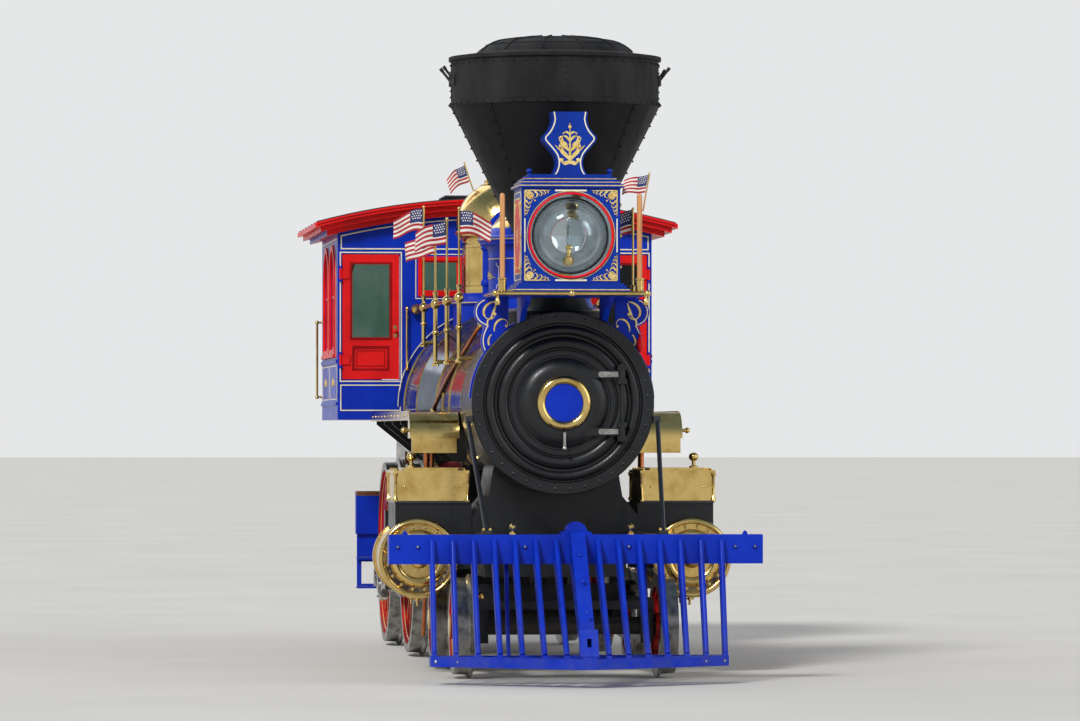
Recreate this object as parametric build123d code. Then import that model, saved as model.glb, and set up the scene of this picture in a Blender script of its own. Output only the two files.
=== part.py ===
from build123d import *
from math import atan2, cos, degrees, radians, sin, sqrt
import os

# A wood-burning steam locomotive of the 4-4-0 type, with a funnel stack, a square headlamp and a wooden cab.
# Millimetres. +X runs towards the front, +Y to the locomotive's left, +Z up.
# The origin is on the ground plane under the middle of its length, where the wheel flanges stand.
# A station is a distance back from the pilot's nose; heights named *_h are above the rail top.

# Clearances
seat = 0.3          # between pieces of one body, and at curved seats
running = 0.1       # radial, between a journal or pin and its bore
free = 5.0          # between pieces that move past each other

# The length over all, from the pilot's nose to the end of the drawbar
overall_length = 9650.0
DRAWN_LENGTH = 9650.0
SPREAD = overall_length / DRAWN_LENGTH

# Stations of the main pieces, which spread out with the overall length
beam_station = SPREAD * 900
smokebox_station = SPREAD * 1880
stack_station = SPREAD * 2400
barrel_station = SPREAD * 2950
sand_dome_station = SPREAD * 3500
feed_valve_station = SPREAD * 3950
bell_station = SPREAD * 4850
taper_station = SPREAD * 5300
wagon_top_station = SPREAD * 5750
front_driver_station = SPREAD * 6100
steam_dome_station = SPREAD * 6300
cab_station = SPREAD * 7150
backhead_station = SPREAD * 8180
cab_rear_station = SPREAD * 9150
rear_beam_station = SPREAD * 9330
drawbar_reach = 320.0       # from the rear beam's face to the end of the drawbar

# Wheels and track
flange_depth = 28.0
wheel_back = 680.0          # half of the back-to-back distance
tyre_width = 135.0
driver_radius = 762.0
driver_spacing = SPREAD * 2440
truck_wheel_radius = 355.0
truck_wheelbase = 1830.0
driver_axle_radius = 90.0
truck_axle_radius = 65.0
truck_pin_radius = 60.0
saddle_bottom_h = 700.0
hub_stand_out = 20.0

# Cylinders, rods and guides
cylinder_y = 1020.0
cylinder_h = 840.0
cylinder_bore = 203.0
cylinder_radius = 270.0
cylinder_half_length = 370.0
cover_radius = 297.0
crank_radius = 305.0
crank_pin_radius = 50.0
wrist_pin_radius = 38.0
piston_rod_radius = 32.0
main_rod_length = SPREAD * 2375
crosshead_ahead = 975.0     # from the crosshead at mid-stroke to the middle of the cylinder
rod_thickness = 60.0
coupling_rod_thickness = 50.0
guide_gap = 62.0            # half of the height between the upper and lower guide bars
guide_bar = 40.0
guide_inner_y = 960.0
guide_outer_y = 1080.0
guide_reach = 1480.0        # from the middle of the cylinder to the guide yoke

# Boiler
boiler_h = 1990.0
smokebox_radius = 655.0
smokebox_wall = 14.0
front_ring_radius = 675.0
front_ring_depth = 60.0
door_opening_radius = 370.0
door_radius = 392.0
door_hinge_rise = 210.0
door_pin_y = 430.0
door_pin_ahead = 50.0
door_pin_radius = 14.0
barrel_radius = 650.0
band_proud = 7.3
wagon_top_radius = 760.0
steam_crown = ((396.0, 3470.0), (344.0, 3640.0), (194.0, 3780.0))   # (radius, height) on the dome's crown
firebox_half_width = 500.0
firebox_bottom_h = 600.0
fire_pin_y = -214.0
fire_pin_radius = 8.0

# Stack and headlamp
stack_radius = 230.0
stack_top_radius = 772.0
stack_cone_h = (3100.0, 4190.0)
stack_band_top_h = 4530.0
stack_wall = 14.0
lamp_ahead = 1120.0         # from the lamp's face to the middle of the stack
lamp_depth = 560.0
lamp_width = 720.0
lamp_plinth = 60.0
lamp_height = 695.0
lens_radius = 296.0
platform_h = 2795.0
platform_thickness = 30.0
platform_half_width = 555.0

# Frame, pilot and beam
frame_y = (530.0, 620.0)
frame_h = (930.0, 1040.0)
pedestal_h = 550.0
axle_box_half = 130.0
beam_h = (830.0, 1040.0)
beam_half_length = 1350.0
beam_thickness = 160.0
pilot_half_width = 1045.0
pilot_bars_a_side = 7
pilot_bottom_h = 105.0

# Running boards, cab and deck
board_h = (1880.0, 1930.0)
handrail_y = 660.0
board_half_width = 1020.0
nose_radius = 200.0
cab_half_width = 1305.0
cab_wall = 45.0
roof_half_width = 1500.0
wall_over_windows = 510.0   # from the spring of the side windows' arches to the eave
roof_rise = 200.0
window_h = (2460.0, 2990.0)
window_width = 620.0
window_places = (250.0, 1010.0)
small_window_y = (300.0, 610.0)
small_window_height = 270.0
small_window_head = 300.0   # from its top to the eave
roof_overhang = (200.0, 300.0)
door_y = (790.0, 1270.0)
door_foot_h = 2210.0
door_head = 250.0           # from the top of the doorway to the eave
rear_arch_head = 210.0
rear_opening_half = 1090.0
cab_pin_radius = 6.0
deck_h = (1230.0, 1270.0)
deck_half_width = 665.0
rear_beam_half = 1000.0
drawbar_eye_radius = 35.0

# Worked out from the sizes above
RAIL = flange_depth
AXIS_Z = RAIL + boiler_h
CYLINDER_Z = RAIL + cylinder_h
DRIVER_Z = RAIL + driver_radius
TRUCK_Z = RAIL + truck_wheel_radius
SADDLE_Z = RAIL + saddle_bottom_h
TRUCK_STATION = front_driver_station - main_rod_length - crosshead_ahead
YOKE_STATION = TRUCK_STATION + guide_reach
WAIST_SHEETS = (YOKE_STATION + 330, taper_station - 120)
LAMP_STATION = stack_station - lamp_ahead
REAR_DRIVER_STATION = front_driver_station + driver_spacing
LAST_TIE_STATION = rear_beam_station - 230
DRAWBAR_EYE_STATION = rear_beam_station + drawbar_reach - 80
ROOF_EAVE_H = window_h[1] + wall_over_windows
ROOF_CROWN_H = ROOF_EAVE_H + roof_rise
SMALL_WINDOW_H = (ROOF_EAVE_H - small_window_head - small_window_height, ROOF_EAVE_H - small_window_head)
DOOR_H = (door_foot_h, ROOF_EAVE_H - door_head)
HUB_FACE = wheel_back + tyre_width + hub_stand_out
FIRE_PIN_STATION = backhead_station + free + 13
FIRE_HINGES = (RAIL + 1520, RAIL + 1720)
CAB_PIN_STATION = cab_station - 12
CAB_PIN_Y = door_y[1] + 10
CAB_HINGES = (RAIL + DOOR_H[0] + 165, RAIL + DOOR_H[1] - 165)
DRAWBAR_Z = (RAIL + 935, RAIL + 1005)
DOOR_FACE = front_ring_depth + seat + free
COUPLING_ROD_Y = (HUB_FACE + 12.0, HUB_FACE + 12.0 + coupling_rod_thickness)
MAIN_ROD_Y = (cylinder_y - rod_thickness / 2, cylinder_y + rod_thickness / 2)
LEFT, RIGHT = 1, -1
# The two cranks stand a quarter of a turn apart, both below the axle at rest.
CRANK_ANGLE = {LEFT: -135.0, RIGHT: -45.0}


def at(station):
    """The x of a station."""
    return overall_length / 2 - station


def block(stations, ys, zs):
    """A box between two stations, two ys and two zs."""
    xs = (at(stations[0]), at(stations[1]))
    centre = [(low + high) / 2 for low, high in (xs, ys, zs)]
    return Pos(*centre) * Box(*[abs(high - low) for low, high in (xs, ys, zs)])


def bar_x(stations, y, z, radius):
    """A round bar along the locomotive."""
    middle = (at(stations[0]) + at(stations[1])) / 2
    return Pos(middle, y, z) * Rot(0, 90, 0) * Cylinder(radius, abs(stations[1] - stations[0]))


def bar_y(station, ys, z, radius):
    """A round bar across the locomotive."""
    return Pos(at(station), (ys[0] + ys[1]) / 2, z) * Rot(90, 0, 0) * Cylinder(radius, abs(ys[1] - ys[0]))


def bar_z(station, y, zs, radius):
    """An upright round bar."""
    return Pos(at(station), y, (zs[0] + zs[1]) / 2) * Cylinder(radius, abs(zs[1] - zs[0]))


def rod_between(start, end, radius):
    """A round bar from one point to another."""
    a, b = Vector(*start), Vector(*end)
    return Plane(origin=(a + b) * 0.5, z_dir=b - a) * Cylinder(radius, (b - a).length)


def face_of(outline, place):
    """A flat face from the rows of an outline, in order round it.

    A row of two numbers is the end of a straight line. A row of four is an arc: a point that it
    passes through, then its end. The function place turns two numbers into a point in space.
    """
    edges = []
    start = place(*outline[0][-2:])
    for row in list(outline[1:]) + [outline[0][-2:]]:
        end = place(*row[-2:])
        if len(row) == 4:
            edges.append(ThreePointArc(start, place(*row[:2]), end))
        else:
            edges.append(Line(start, end))
        start = end
    return make_face(edges)


def side_plate(outline, ys):
    """A plate that lies along the locomotive, its outline in (station, z)."""
    face = face_of(outline, lambda station, z: (at(station), ys[0], z))
    return extrude(face, amount=ys[1] - ys[0], dir=(0, 1, 0))


def cross_plate(outline, stations):
    """A plate that stands across the locomotive, its outline in (y, z)."""
    face = face_of(outline, lambda y, z: (at(stations[0]), y, z))
    return extrude(face, amount=stations[1] - stations[0], dir=(-1, 0, 0))


def flat_plate(outline, zs):
    """A level plate, its outline in (station, y)."""
    face = face_of(outline, lambda station, y: (at(station), y, zs[0]))
    return extrude(face, amount=zs[1] - zs[0], dir=(0, 0, 1))


def turned(profile):
    """A solid of revolution about Z, its outline in (radius, height)."""
    return revolve(face_of(profile, lambda radius, height: (radius, 0, height)), Axis.Z)


def over_axis(radius, low, high):
    """A point on the arc that closes a turned outline as part of a ball, from (radius, low) to (0, high)."""
    rise = high - low
    ball = (radius ** 2 + rise ** 2) / (2 * rise)
    part = 0.6 * radius
    return part, high - ball + sqrt(ball ** 2 - part ** 2) * (1 if rise > 0 else -1)


def height_on_arc(points, radius):
    """The height at a radius on the upper arc through three (radius, height) points."""
    (r1, h1), (r2, h2), (r3, h3) = points
    twice = 2 * (r1 * (h2 - h3) + r2 * (h3 - h1) + r3 * (h1 - h2))
    s1, s2, s3 = r1 ** 2 + h1 ** 2, r2 ** 2 + h2 ** 2, r3 ** 2 + h3 ** 2
    centre_r = (s1 * (h2 - h3) + s2 * (h3 - h1) + s3 * (h1 - h2)) / twice
    centre_h = (s1 * (r3 - r2) + s2 * (r1 - r3) + s3 * (r2 - r1)) / twice
    arc_radius = sqrt((r1 - centre_r) ** 2 + (h1 - centre_h) ** 2)
    return centre_h + sqrt(arc_radius ** 2 - (radius - centre_r) ** 2)


def facing_front(shape, station, y=0.0, z=AXIS_Z):
    """A shape turned about Z, laid over so that its height runs towards the front."""
    return Pos(at(station), y, z) * Rot(0, 90, 0) * shape


def facing_out(shape, side, station, y, z):
    """A shape turned about Z, laid over so that its height runs outwards on one side."""
    return Pos(at(station), side * y, z) * Rot(-90 * side, 0, 0) * shape


def mirrored(shape):
    """The same shape on the other side of the locomotive."""
    return mirror(shape, about=Plane.XZ)


def both_sides(shape):
    """A shape and its mirror image."""
    return shape + mirrored(shape)


def boiler_cutter(radius, stations):
    """A cylinder on the boiler's axis, a seat's clearance larger than the radius."""
    return bar_x(stations, 0, AXIS_Z, radius + seat)


# Wheels

def crank_point(side, station):
    """The (x, z) of a crank pin at rest."""
    angle = radians(CRANK_ANGLE[side])
    return at(station) + crank_radius * cos(angle), DRIVER_Z + crank_radius * sin(angle)


def wheel_rim(radius, rim_depth):
    """Tyre, flange and the rim that the spokes run into."""
    inner = radius - rim_depth
    tyre_seat = radius - 68
    tip = radius + flange_depth
    return turned([
        (inner, 20), (tyre_seat, 20), (tyre_seat, 0), (tip - 5, 0), (tip, 7), (tip, 20),
        (radius + 5, 34), (radius, 44), (radius - 3, tyre_width), (tyre_seat, tyre_width),
        (tyre_seat, tyre_width - 20), (inner, tyre_width - 20),
    ])


def spoked_wheel(radius, rim_depth, spokes, spoke_size, hub_radius, axle_radius):
    """A wheel about Z, its back at height 0."""
    wheel = wheel_rim(radius, rim_depth)
    reach = radius - rim_depth + 8
    width, depth = spoke_size
    middle = tyre_width / 2
    spoke = Pos(reach / 2, 0, middle) * Box(reach, width, depth)
    for number in range(spokes):
        wheel += Rot(0, 0, 360 * (number + 0.5) / spokes) * spoke
    hub_height = tyre_width + hub_stand_out
    wheel += Pos(0, 0, hub_height / 2) * Cylinder(hub_radius, hub_height)
    return wheel - Pos(0, 0, hub_height / 2) * Cylinder(axle_radius + seat, hub_height + 2)


def driving_wheel():
    """A driving wheel about Z with its crank towards +X and its balance weight towards -X."""
    wheel = spoked_wheel(driver_radius, 125, 15, (52, 60), 150, driver_axle_radius)
    boss_top = tyre_width + hub_stand_out
    boss = Pos(crank_radius, 0, boss_top / 2 + 20) * Cylinder(100, boss_top - 40)
    web = Pos(crank_radius / 2 + 60, 0, boss_top / 2 + 20) * Box(crank_radius - 120, 150, boss_top - 40)
    weight_outer, weight_inner = driver_radius - 120, driver_radius - 330
    disc = Pos(0, 0, 67) * Cylinder(weight_outer, 80) - Pos(0, 0, 67) * Cylinder(weight_inner, 82)
    wedge = Polyline((0, 0, 27), (-1000, -620, 27), (-1000, 620, 27), close=True)
    weight = disc & extrude(make_face(wedge), amount=80, dir=(0, 0, 1))
    wheel += boss + web + weight
    pin_hole = Pos(crank_radius, 0, boss_top / 2 + 30) * Cylinder(crank_pin_radius + seat, boss_top)
    return wheel - pin_hole


def driver_wheelset(station, pin_end):
    """Two driving wheels, their axle and their crank pins, as separate solids."""
    pieces = [bar_y(station, (-HUB_FACE, HUB_FACE), DRIVER_Z, driver_axle_radius)]
    wheel = driving_wheel()
    for side in (LEFT, RIGHT):
        # About the outward axis, a crank angle seen from the left turns the other way on the left side.
        turn = Rot(0, 0, -CRANK_ANGLE[side] * side)
        pieces.append(facing_out(turn * wheel, side, station, wheel_back, DRIVER_Z))
        x, z = crank_point(side, station)
        rod_outer = COUPLING_ROD_Y[1]
        pin = Pos(0, 0, (pin_end + HUB_FACE - 90) / 2) * Cylinder(crank_pin_radius, pin_end - HUB_FACE + 90)
        collar = Pos(0, 0, rod_outer + free + 8) * Cylinder(crank_pin_radius + 20, 16)
        pieces.append(Pos(x, 0, z) * Rot(-90 * side, 0, 0) * (pin + collar))
    return Compound(pieces)


def truck_wheelset(station):
    """Two truck wheels and their axle, as separate solids."""
    wheel = spoked_wheel(truck_wheel_radius, 105, 10, (46, 56), 95, truck_axle_radius)
    pieces = [bar_y(station, (-HUB_FACE, HUB_FACE), TRUCK_Z, truck_axle_radius)]
    for side in (LEFT, RIGHT):
        pieces.append(facing_out(wheel, side, station, wheel_back, TRUCK_Z))
    return Compound(pieces)


# Rods and crossheads

def wrist_point(side):
    """The (x, z) of a crosshead's wrist pin at rest."""
    x, z = crank_point(side, front_driver_station)
    return x + sqrt(main_rod_length ** 2 - (CYLINDER_Z - z) ** 2), CYLINDER_Z


def coupling_rod(side):
    """The rod between the two crank pins of one side."""
    x_front, z = crank_point(side, front_driver_station)
    x_rear, _ = crank_point(side, REAR_DRIVER_STATION)
    low, high = sorted(side * y for y in COUPLING_ROD_Y)
    outline = [
        (x_front, 42), ((x_front + x_rear) / 2, 62), (x_rear, 42),
        (x_rear, -42), ((x_front + x_rear) / 2, -62), (x_front, -42),
    ]
    rod = extrude(
        make_face(Polyline(*[(x, low, z + rise) for x, rise in outline], close=True)),
        amount=high - low, dir=(0, 1, 0),
    )
    flute_start, flute_end = x_front - 200, x_rear + 200
    flute_middle, flute_length = (flute_start + flute_end) / 2, flute_start - flute_end
    for face_y in (low, high):
        rod -= Pos(flute_middle, face_y, z) * Box(flute_length, 24, 52)
    for x in (x_front, x_rear):
        centre = Pos(x, (low + high) / 2, z) * Rot(90, 0, 0)
        rod += centre * Cylinder(92, high - low) + Pos(x, (low + high) / 2, z + 96) * Box(60, 36, 50)
        rod -= centre * Cylinder(crank_pin_radius + running, high - low + 2)
    return rod


def main_rod(side):
    """The rod from the wrist pin to the crank, built along -X from the wrist pin and then sloped."""
    low, high = sorted(side * y for y in MAIN_ROD_Y)
    middle = (low + high) / 2
    length = main_rod_length
    outline = [(0, 44), (-length, 62), (-length, -62), (0, -44)]
    rod = extrude(
        make_face(Polyline(*[(x, low, z) for x, z in outline], close=True)),
        amount=high - low, dir=(0, 1, 0),
    )
    for face_y in (low, high):
        rod -= Pos(-length / 2, face_y, 0) * Box(length - 560, 28, 56)
    rod += Pos(0, middle, 0) * Rot(90, 0, 0) * Cylinder(68, high - low)
    rod += Pos(-length, middle, 0) * Box(270, high - low, 210)
    rod += Pos(-length, middle + side * 8, 0) * Rot(90, 0, 0) * Cylinder(62, high - low + 16)
    rod += Pos(-length + 60, middle, 118) * Box(60, 34, 40)
    rod -= Pos(0, middle, 0) * Rot(90, 0, 0) * Cylinder(wrist_pin_radius + running, high - low + 2)
    wrist_x, wrist_z = wrist_point(side)
    x, z = crank_point(side, front_driver_station)
    slope = degrees(atan2(wrist_z - z, wrist_x - x))
    return Pos(wrist_x, 0, wrist_z) * Rot(0, -slope, 0) * rod


def crosshead(side):
    """Two shoes between the guide bars, the wrist pin and web that join them, and the piston rod."""
    x, z = wrist_point(side)
    height = 2 * (guide_gap - seat)
    piece = None
    for y in (guide_inner_y, guide_outer_y):
        shoe = Pos(x, side * y, z) * Box(300, guide_bar, height)
        piece = shoe if piece is None else piece + shoe
    across = guide_outer_y - guide_inner_y + guide_bar
    piece += Pos(x + 132, side * cylinder_y, z) * Box(66, across, height)
    piece += Pos(x, side * cylinder_y, z) * Rot(90, 0, 0) * Cylinder(wrist_pin_radius, across)
    rod_start, rod_length = x + 165, 836
    piece += Pos(rod_start + rod_length / 2, side * cylinder_y, z) * Rot(0, 90, 0) * Cylinder(
        piston_rod_radius, rod_length
    )
    return piece


def guide_bars():
    """Four guide bars a side, from the back cylinder cover to the yoke."""
    start = TRUCK_STATION + cylinder_half_length + 60 + 2 * seat
    bars = []
    for side in (LEFT, RIGHT):
        for y in (guide_inner_y, guide_outer_y):
            for sign in (1, -1):
                inner = CYLINDER_Z + sign * guide_gap
                zs = sorted((inner, inner + sign * guide_bar))
                ys = sorted((side * y - guide_bar / 2, side * y + guide_bar / 2))
                bars.append(block((start, YOKE_STATION - seat), ys, zs))
    return Compound(bars)


def guide_yoke():
    """The plates that carry the guide bars' back ends: one across the frame, a cheek under it each side."""
    stations = (YOKE_STATION, YOKE_STATION + 60)
    cut = (stations[0] - 1, stations[1] + 1)
    top = RAIL + frame_h[1] + seat
    outer = guide_outer_y + 50
    window_y = (cylinder_y - 42, cylinder_y + 42)
    plate = block(stations, (-outer, outer), (top, top + 130))
    plate -= both_sides(block(cut, window_y, (top - 1, RAIL + 1075)))
    cheek = block(stations, (frame_y[1] + seat, outer), (RAIL + 560, top - seat))
    cheek -= block(cut, window_y, (RAIL + 610, top))
    cheek -= block(cut, (690, 880), (RAIL + 630, RAIL + 960))
    return Compound([plate, cheek, mirrored(cheek)])


# Cylinders and saddle

def cylinder(side_length=cylinder_half_length):
    """The left cylinder with the casting that joins it to the frame and carries the steam chest."""
    stations = (TRUCK_STATION - side_length, TRUCK_STATION + side_length)
    barrel = bar_x(stations, cylinder_y, CYLINDER_Z, cylinder_radius)
    inner = frame_y[1] + seat
    casting = block(
        (stations[0] + 30, stations[1] - 30), (inner, 1190), (CYLINDER_Z, RAIL + 1250 - seat)
    )
    bolting_face = block((stations[0] + 60, stations[1] - 60), (inner, 800), (RAIL + 760, CYLINDER_Z))
    bore = bar_x((stations[0] - 1, stations[1] + 1), cylinder_y, CYLINDER_Z, cylinder_bore)
    # The saddle's flange passes over the frame, inboard of the casting.
    return barrel + casting + bolting_face - bore


def cylinder_covers():
    """Turned front and back covers. The back one has the gland that the piston rod slides through."""
    front = turned([
        (0, 0), (cover_radius, 0), (cover_radius, 22), (cover_radius - 20, 48, cover_radius - 44, 34),
        (214, 28), (182, 56, 142, 40), (76, 42), (*over_axis(76, 42, 86), 0, 86),
    ])
    gland = piston_rod_radius + running
    back = turned([
        (gland, 0), (cover_radius - 12, 0), (cover_radius - 12, 45), (150, 45), (140, 60),
        (70, 60), (70, 120), (gland, 120),
    ])
    front_station = TRUCK_STATION - cylinder_half_length - seat
    back_station = TRUCK_STATION + cylinder_half_length + seat
    front = facing_front(front, front_station, cylinder_y, CYLINDER_Z)
    back = Pos(at(back_station), cylinder_y, CYLINDER_Z) * Rot(0, -90, 0) * back
    return Compound([front, back, mirrored(front), mirrored(back)])


def steam_chests():
    """The cased steam chests on the cylinders, with their lids."""
    stations = (TRUCK_STATION - 350, TRUCK_STATION + 350)
    chest = block(stations, (650, 1190), (RAIL + 1250, RAIL + 1474))
    lid = block((stations[0] - 12, stations[1] + 12), (640, 1202), (RAIL + 1474, RAIL + 1492))
    cap = block((stations[0] + 60, stations[1] - 60), (720, 1120), (RAIL + 1492, RAIL + 1512))
    foot = block((stations[0] - 8, stations[1] + 8), (644, 1196), (RAIL + 1250, RAIL + 1266))
    cup = Pos(at(TRUCK_STATION - 200), 1060, RAIL + 1512) * turned(
        [(0, 0), (34, 0), (34, 10), (14, 18), (14, 50), (36, 80, 10, 112), (0, 112)]
    )
    return both_sides(chest + lid + cap + foot + cup)


def saddle():
    """The casting under the smokebox, between and over the frame bars, with the truck's centre bearing."""
    stations = (TRUCK_STATION - 400, TRUCK_STATION + 400)
    frame_top = RAIL + frame_h[1] + seat
    inner = frame_y[0] - seat
    outline = [
        (-inner, SADDLE_Z), (inner, SADDLE_Z), (inner, frame_top), (620, frame_top),
        (620, RAIL + 1150), (500, RAIL + 1300), (450, RAIL + 1600),
        (-450, RAIL + 1600), (-500, RAIL + 1300), (-620, RAIL + 1150), (-620, frame_top),
        (-inner, frame_top),
    ]
    casting = cross_plate(outline, stations)
    casting -= boiler_cutter(smokebox_radius, (stations[0] - 1, stations[1] + 1))
    casting -= boiler_cutter(barrel_radius + band_proud, (barrel_station - 1, stations[1] + 1))
    return casting - bar_z(TRUCK_STATION, 0, (SADDLE_Z - 10, SADDLE_Z + 130), truck_pin_radius + running)


# Boiler, smokebox and what stands on them

def smokebox():
    """A rolled tube with the stack's opening in its top."""
    stations = (smokebox_station, barrel_station)
    tube = bar_x(stations, 0, AXIS_Z, smokebox_radius)
    tube -= bar_x((stations[0] - 1, stations[1] + 1), 0, AXIS_Z, smokebox_radius - smokebox_wall)
    return tube - bar_z(stack_station, 0, (AXIS_Z + 300, AXIS_Z + 900), stack_radius - stack_wall)


def smokebox_front():
    """The turned front plate with its raised rings, the door's opening and the lugs of its hinge."""
    depth = front_ring_depth
    groove = depth - 22
    profile = [
        (door_opening_radius, 0), (front_ring_radius, 0), (front_ring_radius, depth - 10),
        (front_ring_radius - 3, depth - 3, front_ring_radius - 10, depth), (590, depth), (582, groove),
        (572, groove), (538, depth + 14, 502, groove), (488, groove), (446, depth + 14, 402, depth),
        (door_opening_radius, depth),
    ]
    plate = facing_front(turned(profile), smokebox_station - seat)
    pin_station = smokebox_station - depth - door_pin_ahead
    lug_stations = (pin_station - 25, smokebox_station - groove + 4)
    for sign in (1, -1):
        z = AXIS_Z + sign * door_hinge_rise
        for low, high in ((z - 70, z - 32), (z + 32, z + 70)):
            plate += block(lug_stations, (door_pin_y - 35, door_pin_y + 35), (low, high))
    return plate - bar_z(pin_station, door_pin_y, (AXIS_Z - 300, AXIS_Z + 300), door_pin_radius + running)


def smokebox_door():
    """A dished round door with two strap hinges on a pin, a centre boss and a handle."""
    face = DOOR_FACE
    dish = turned([
        (0, face + 4), (door_opening_radius - 12, face), (door_radius, face), (door_radius, face + 10),
        (door_radius - 4, face + 18, door_radius - 14, face + 20), (350, face + 20), (344, face + 14),
        (334, face + 14), (292, face + 47, 210, face + 58), (0, face + 58),
    ])
    door = facing_front(dish, smokebox_station)
    pin_station = smokebox_station - front_ring_depth - door_pin_ahead
    for sign in (1, -1):
        z = AXIS_Z + sign * door_hinge_rise
        # A bent strap: flat over the door's rim, out to the eye on the pin.
        strap = block((pin_station - 12, pin_station + 14), (150, door_pin_y), (z - 28, z + 28))
        foot = block((pin_station, smokebox_station - face - 20), (150, 330), (z - 28, z + 28))
        eye = bar_z(pin_station, door_pin_y, (z - 31, z + 31), 26)
        door += strap + foot + eye
    door += bar_z(pin_station, door_pin_y, (AXIS_Z - 290, AXIS_Z + 290), door_pin_radius)
    handle = bar_z(smokebox_station - face - 95, 0, (AXIS_Z - 330, AXIS_Z - 215), 11)
    stem = bar_x((smokebox_station - face - 95, smokebox_station - face - 20), 0, AXIS_Z - 225, 11)
    return door + handle + stem


def number_plate():
    """A blank round plate with a raised rim, on the door's centre."""
    rise = DOOR_FACE + 58 + seat
    disc = turned([
        (0, rise), (200, rise), (200, rise + 8), (170, rise + 32, 138, rise + 14), (0, rise + 14),
    ])
    return facing_front(disc, smokebox_station)


def smokebox_braces():
    """Two stays from the smokebox front ring down to the beam."""
    top = (at(smokebox_station - 40), front_ring_radius + 26, AXIS_Z - 120)
    foot = (at(beam_station + 110), 640, RAIL + beam_h[1] + 24)
    stay = rod_between(top, foot, 17)
    ys = (front_ring_radius - 8, front_ring_radius + 44)
    lug = block((smokebox_station - 70, smokebox_station), ys, (AXIS_Z - 150, AXIS_Z - 95))
    lug -= bar_x((smokebox_station - 100, smokebox_station + 50), 0, AXIS_Z, front_ring_radius + seat)
    beam_top = RAIL + beam_h[1]
    pad = block((beam_station + 80, beam_station + 140), (605, 675), (beam_top + seat, beam_top + 30))
    return both_sides(stay + lug + pad)


def stack():
    """A funnel stack of four courses: base and pipe, long cone, upright band and domed cinder screen."""
    low, high = stack_cone_h
    pipe, top = stack_radius, stack_top_radius
    wall = stack_wall
    band_top = stack_band_top_h
    crown = band_top + 194
    base = turned([
        (350, 2400), (350, 2664), (262, 2700, pipe, 2810), (pipe, low), (pipe - wall, low),
        (pipe - wall, 2400),
    ])
    place = Pos(at(stack_station), 0, RAIL)
    base = place * base - boiler_cutter(smokebox_radius, (stack_station - 500, stack_station + 500))
    cone = turned([
        (pipe - wall, low + seat), (pipe, low + seat), (top, high), (top + 12, high + 6),
        (top + 12, high + 20), (top - wall, high + 20), (top - wall, high + 4),
    ])
    band = turned([
        (top - wall, high + 20 + seat), (top + 12, high + 20 + seat), (top + 12, high + 36),
        (top, high + 42),
        (top, band_top), (top + 20, band_top + 6), (top + 20, band_top + 30), (top - wall, band_top + 30),
    ])
    screen = turned([
        (top + 20, band_top + 30 + seat), (top + 20, band_top + 32), (600, band_top + 58),
        (588, band_top + 66),
        (520, band_top + 118, 400, band_top + 158), (*over_axis(400, band_top + 158, crown), 0, crown),
        (0, crown - 14), (*over_axis(392, band_top + 145, crown - 14), 392, band_top + 145),
        (505, band_top + 107, 572, band_top + 44), (top - 60, band_top + 30 + seat),
    ])
    return Compound([base, place * cone, place * band, place * screen])


def headlamp_case():
    """The square lamp box with its round front opening, reflector bowl, cornice and vase-shaped crest."""
    front, back = LAMP_STATION, LAMP_STATION + lamp_depth
    bottom = RAIL + platform_h + seat
    top = bottom + lamp_plinth + lamp_height
    half = lamp_width / 2
    case = block((front, back), (-half, half), (bottom, top))
    centre_z = bottom + lamp_plinth + lamp_height / 2
    deep, mouth = 330.0, lens_radius - 14
    bowl = turned([
        (0, 0), (lens_radius, 0), (lens_radius, -20), (mouth, -48),
        (*over_axis(mouth, -48, -deep), 0, -deep),
    ])
    case -= facing_front(bowl, front, 0, centre_z)
    ring = turned([
        (lens_radius, 0), (lens_radius + 18, 0), (lens_radius + 18, 8),
        (lens_radius + 10, 20, lens_radius, 12),
    ])
    case += facing_front(ring, front, 0, centre_z)
    # Plinth and cornice steps: (rise, height, overhang past the box)
    steps = [(bottom, 22, 62), (bottom + 22, 20, 44), (bottom + 42, 18, 26)]
    steps += [(top, 26, 20), (top + 26, 26, 0), (top + 52, 24, -26), (top + 76, 22, -56)]
    for rise, height, overhang in steps:
        case += block(
            (front - overhang, back + overhang), (-half - overhang, half + overhang), (rise, rise + height)
        )
    crest_base = top + 98
    # Half of the crest: narrow over its foot, wide at the shoulder, narrow again under a flat top.
    crest = [
        (0, 0), (128, 0), (94, 84, 124, 164), (186, 236), (194, 262, 182, 290), (136, 356, 124, 404),
        (132, 456), (0, 456),
    ]
    half_crest = cross_plate(crest, (front + 70, front + 290))
    case += Pos(0, 0, crest_base) * both_sides(half_crest)
    for y in (-half + 66, half - 66):
        finial = turned([(0, 0), (17, 0), (9, 12), (22, 27, 9, 42), (0, 46)])
        case += Pos(at(front + 100), y, crest_base) * finial
    return case


def headlamp_glass():
    """The flat front glass of the lamp."""
    centre_z = RAIL + platform_h + seat + lamp_plinth + lamp_height / 2
    glass = Pos(0, 0, -9) * Cylinder(lens_radius - seat, 8)
    return facing_front(glass, LAMP_STATION, 0, centre_z)


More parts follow.
